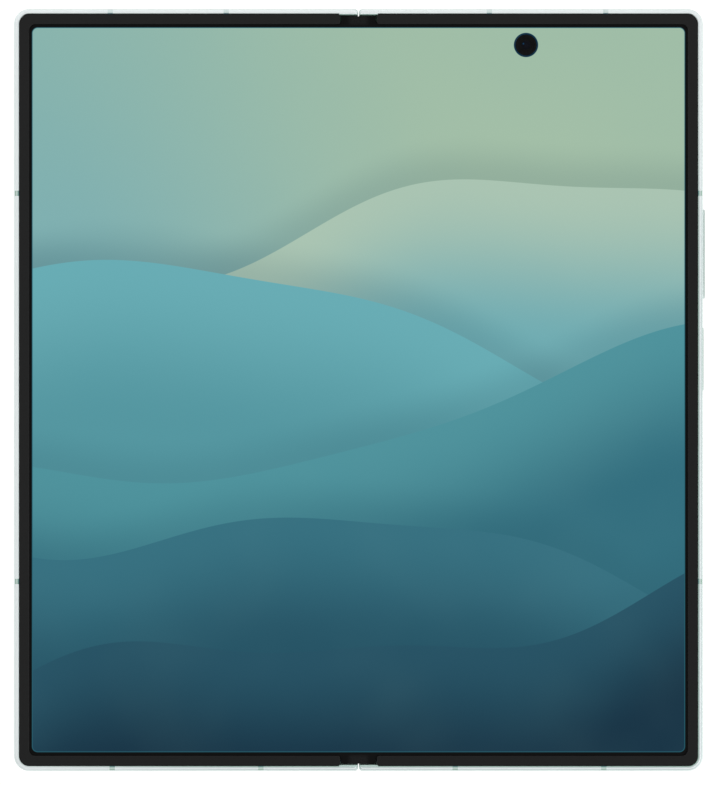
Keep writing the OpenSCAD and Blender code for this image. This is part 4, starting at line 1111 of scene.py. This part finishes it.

# ribbon cables, one half each side of the fold
for y in (64, -64):
    for side, tag in ((1, "right"), (-1, "left")):
        line = [(0, 1.15), (0.8, 1.15), (1.6, 1.16), (2.2, 1.28), (2.5, 1.6), (2.75, 2.1), (2.95, 2.42), (3.2, 2.6), (3.7, 2.62)]
        top = [(x, z + 0.12) for x, z in line]
        if side < 0:
            line, top = [(-x, z) for x, z in line], [(-x, z) for x, z in top]
        loop = line + top[::-1]
        v, f = skin([[(x, yy, t(z)) for x, z in loop] for yy in (y - 3, y - 1, y + 1, y + 3)])
        o = make(f"ribbon_{tag}_{'top' if y > 0 else 'bottom'}", v, f, flex_mat, 40)
        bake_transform(o)
        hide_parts("hinge_flex_cable")

# ------------------------------------------------ finishes of carried nodes

NODE_MATS = {
    "support_plate_right": plate_mat, "support_plate_left": plate_mat, "main_board": board_mat, "usb_sub_board": board_mat, "sub_board_left": board_mat,
    "battery_right": cell_mat, "battery_left": cell_mat, "wireless_coil": copper_mat, "vibration_motor": port_mat, "key_switches": flex_mat,
    "hinge_bracket_right": steel_mat, "hinge_bracket_left": steel_mat, "bracket_screws_right": screw_mat, "bracket_screws_left": screw_mat,
    "closing_magnets_right": magnet_mat, "closing_magnets_left": magnet_mat, "cover_display_panel": black_mat, "cover_camera": barrel_mat, "sim_reader": port_mat,
    "hinge_blocks": steel_mat, "hinge_end_caps": film_mat, "fold_cover_plate": plate_mat, "gear_shafts": steel_mat,
    "sync_arm_right": steel_mat, "sync_arm_left": steel_mat, "idler_gear_right": gear_mat, "idler_gear_left": gear_mat,
    "wing_plate_right": plate_mat, "wing_plate_left": plate_mat,
}
for n, mat in NODE_MATS.items():
    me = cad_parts[n].data
    me.materials.clear()
    me.materials.append(mat)

# -------------------------------------------------------- stage and lights


def area(name, loc, target, size, power, color=(1, 1, 1)):
    l = bpy.data.lights.new(name, "AREA")
    l.shape = "RECTANGLE"
    l.size, l.size_y = size
    l.energy = power
    l.color = color
    o = bpy.data.objects.new(name, l)
    o.location = loc
    o.rotation_euler = (Vector(target) - Vector(loc)).to_track_quat("-Z", "Y").to_euler()
    bpy.context.scene.collection.objects.link(o)
    return o


fm = Nodes("studio_floor")
fn = fm.noise(fm.coords(), 9.0, 3.0)
fm.link(fm.mix(fm.math("MULTIPLY", fn, 0.05), srgb(140, 140, 140), srgb(136, 137, 137)), fm.bsdf.inputs["Base Color"])
fm.bsdf.inputs["Roughness"].default_value = 0.9
fm.bsdf.inputs["Specular IOR Level"].default_value = 0.0
fm.bsdf.inputs["Emission Color"].default_value = (1, 1, 1, 1)
fm.bsdf.inputs["Emission Strength"].default_value = 0.86
fb = fm.node("ShaderNodeBsdfTransparent")
fx = fm.node("ShaderNodeMixShader")
fg = fm.node("ShaderNodeNewGeometry")
fm.link(fg.outputs["Backfacing"], fx.inputs[0])
fm.link(fm.bsdf.outputs[0], fx.inputs[1])
fm.link(fb.outputs[0], fx.inputs[2])
fm.link(fx.outputs[0], fm.out.inputs[0])
floor = make("studio_floor", [(-3000, -3000, -0.05), (3000, -3000, -0.05), (3000, 3000, -0.05), (-3000, 3000, -0.05)], [(0, 1, 2, 3)], fm.mat, 0)

w = bpy.data.worlds.new("studio")
bpy.context.scene.world = w
w.use_nodes = True
wn = w.node_tree
bg = wn.nodes["Background"]
tc = wn.nodes.new("ShaderNodeTexCoord")
sp = wn.nodes.new("ShaderNodeSeparateXYZ")
rp = wn.nodes.new("ShaderNodeValToRGB")
wn.links.new(tc.outputs["Generated"], sp.inputs[0])
wn.links.new(sp.outputs[2], rp.inputs[0])
wn.links.new(rp.outputs[0], bg.inputs[0])
rp.color_ramp.interpolation = "EASE"
rp.color_ramp.elements[0].position = 0.0
rp.color_ramp.elements[0].color = (1.0, 1.0, 1.0, 1.0)
rp.color_ramp.elements[1].position = 0.97
rp.color_ramp.elements[1].color = (0.16, 0.165, 0.17, 1.0)
mid_el = rp.color_ramp.elements.new(0.62)
mid_el.color = (0.85, 0.86, 0.86, 1.0)
bg.inputs[1].default_value = 0.8

area("key_soft", (0.75, -0.45, 0.62), (0, 0, 0), (0.6, 0.6), 4.6)
area("fill_soft", (-0.75, 0.45, 0.62), (0, 0, 0), (0.6, 0.6), 2.8)
area("rim_soft", (0.15, 0.95, 0.45), (0, 0, 0), (0.9, 0.3), 1.6)

cam_d = bpy.data.cameras.new("camera")
cam_d.sensor_fit = "AUTO"
cam_d.sensor_width = 36.0
dist = 1.5
px = 0.2079 * MM
cam_d.lens = 36.0 * dist / (785 * px)
cam_d.clip_end = 20
cam_o = bpy.data.objects.new("camera", cam_d)
cam_o.location = (-1.0 * px, -2.5 * px, dist + 6.3 * MM)
cam_o.rotation_euler = (0, 0, 0)
bpy.context.scene.collection.objects.link(cam_o)
bpy.context.scene.camera = cam_o
bpy.context.scene.view_settings.view_transform = "Standard"
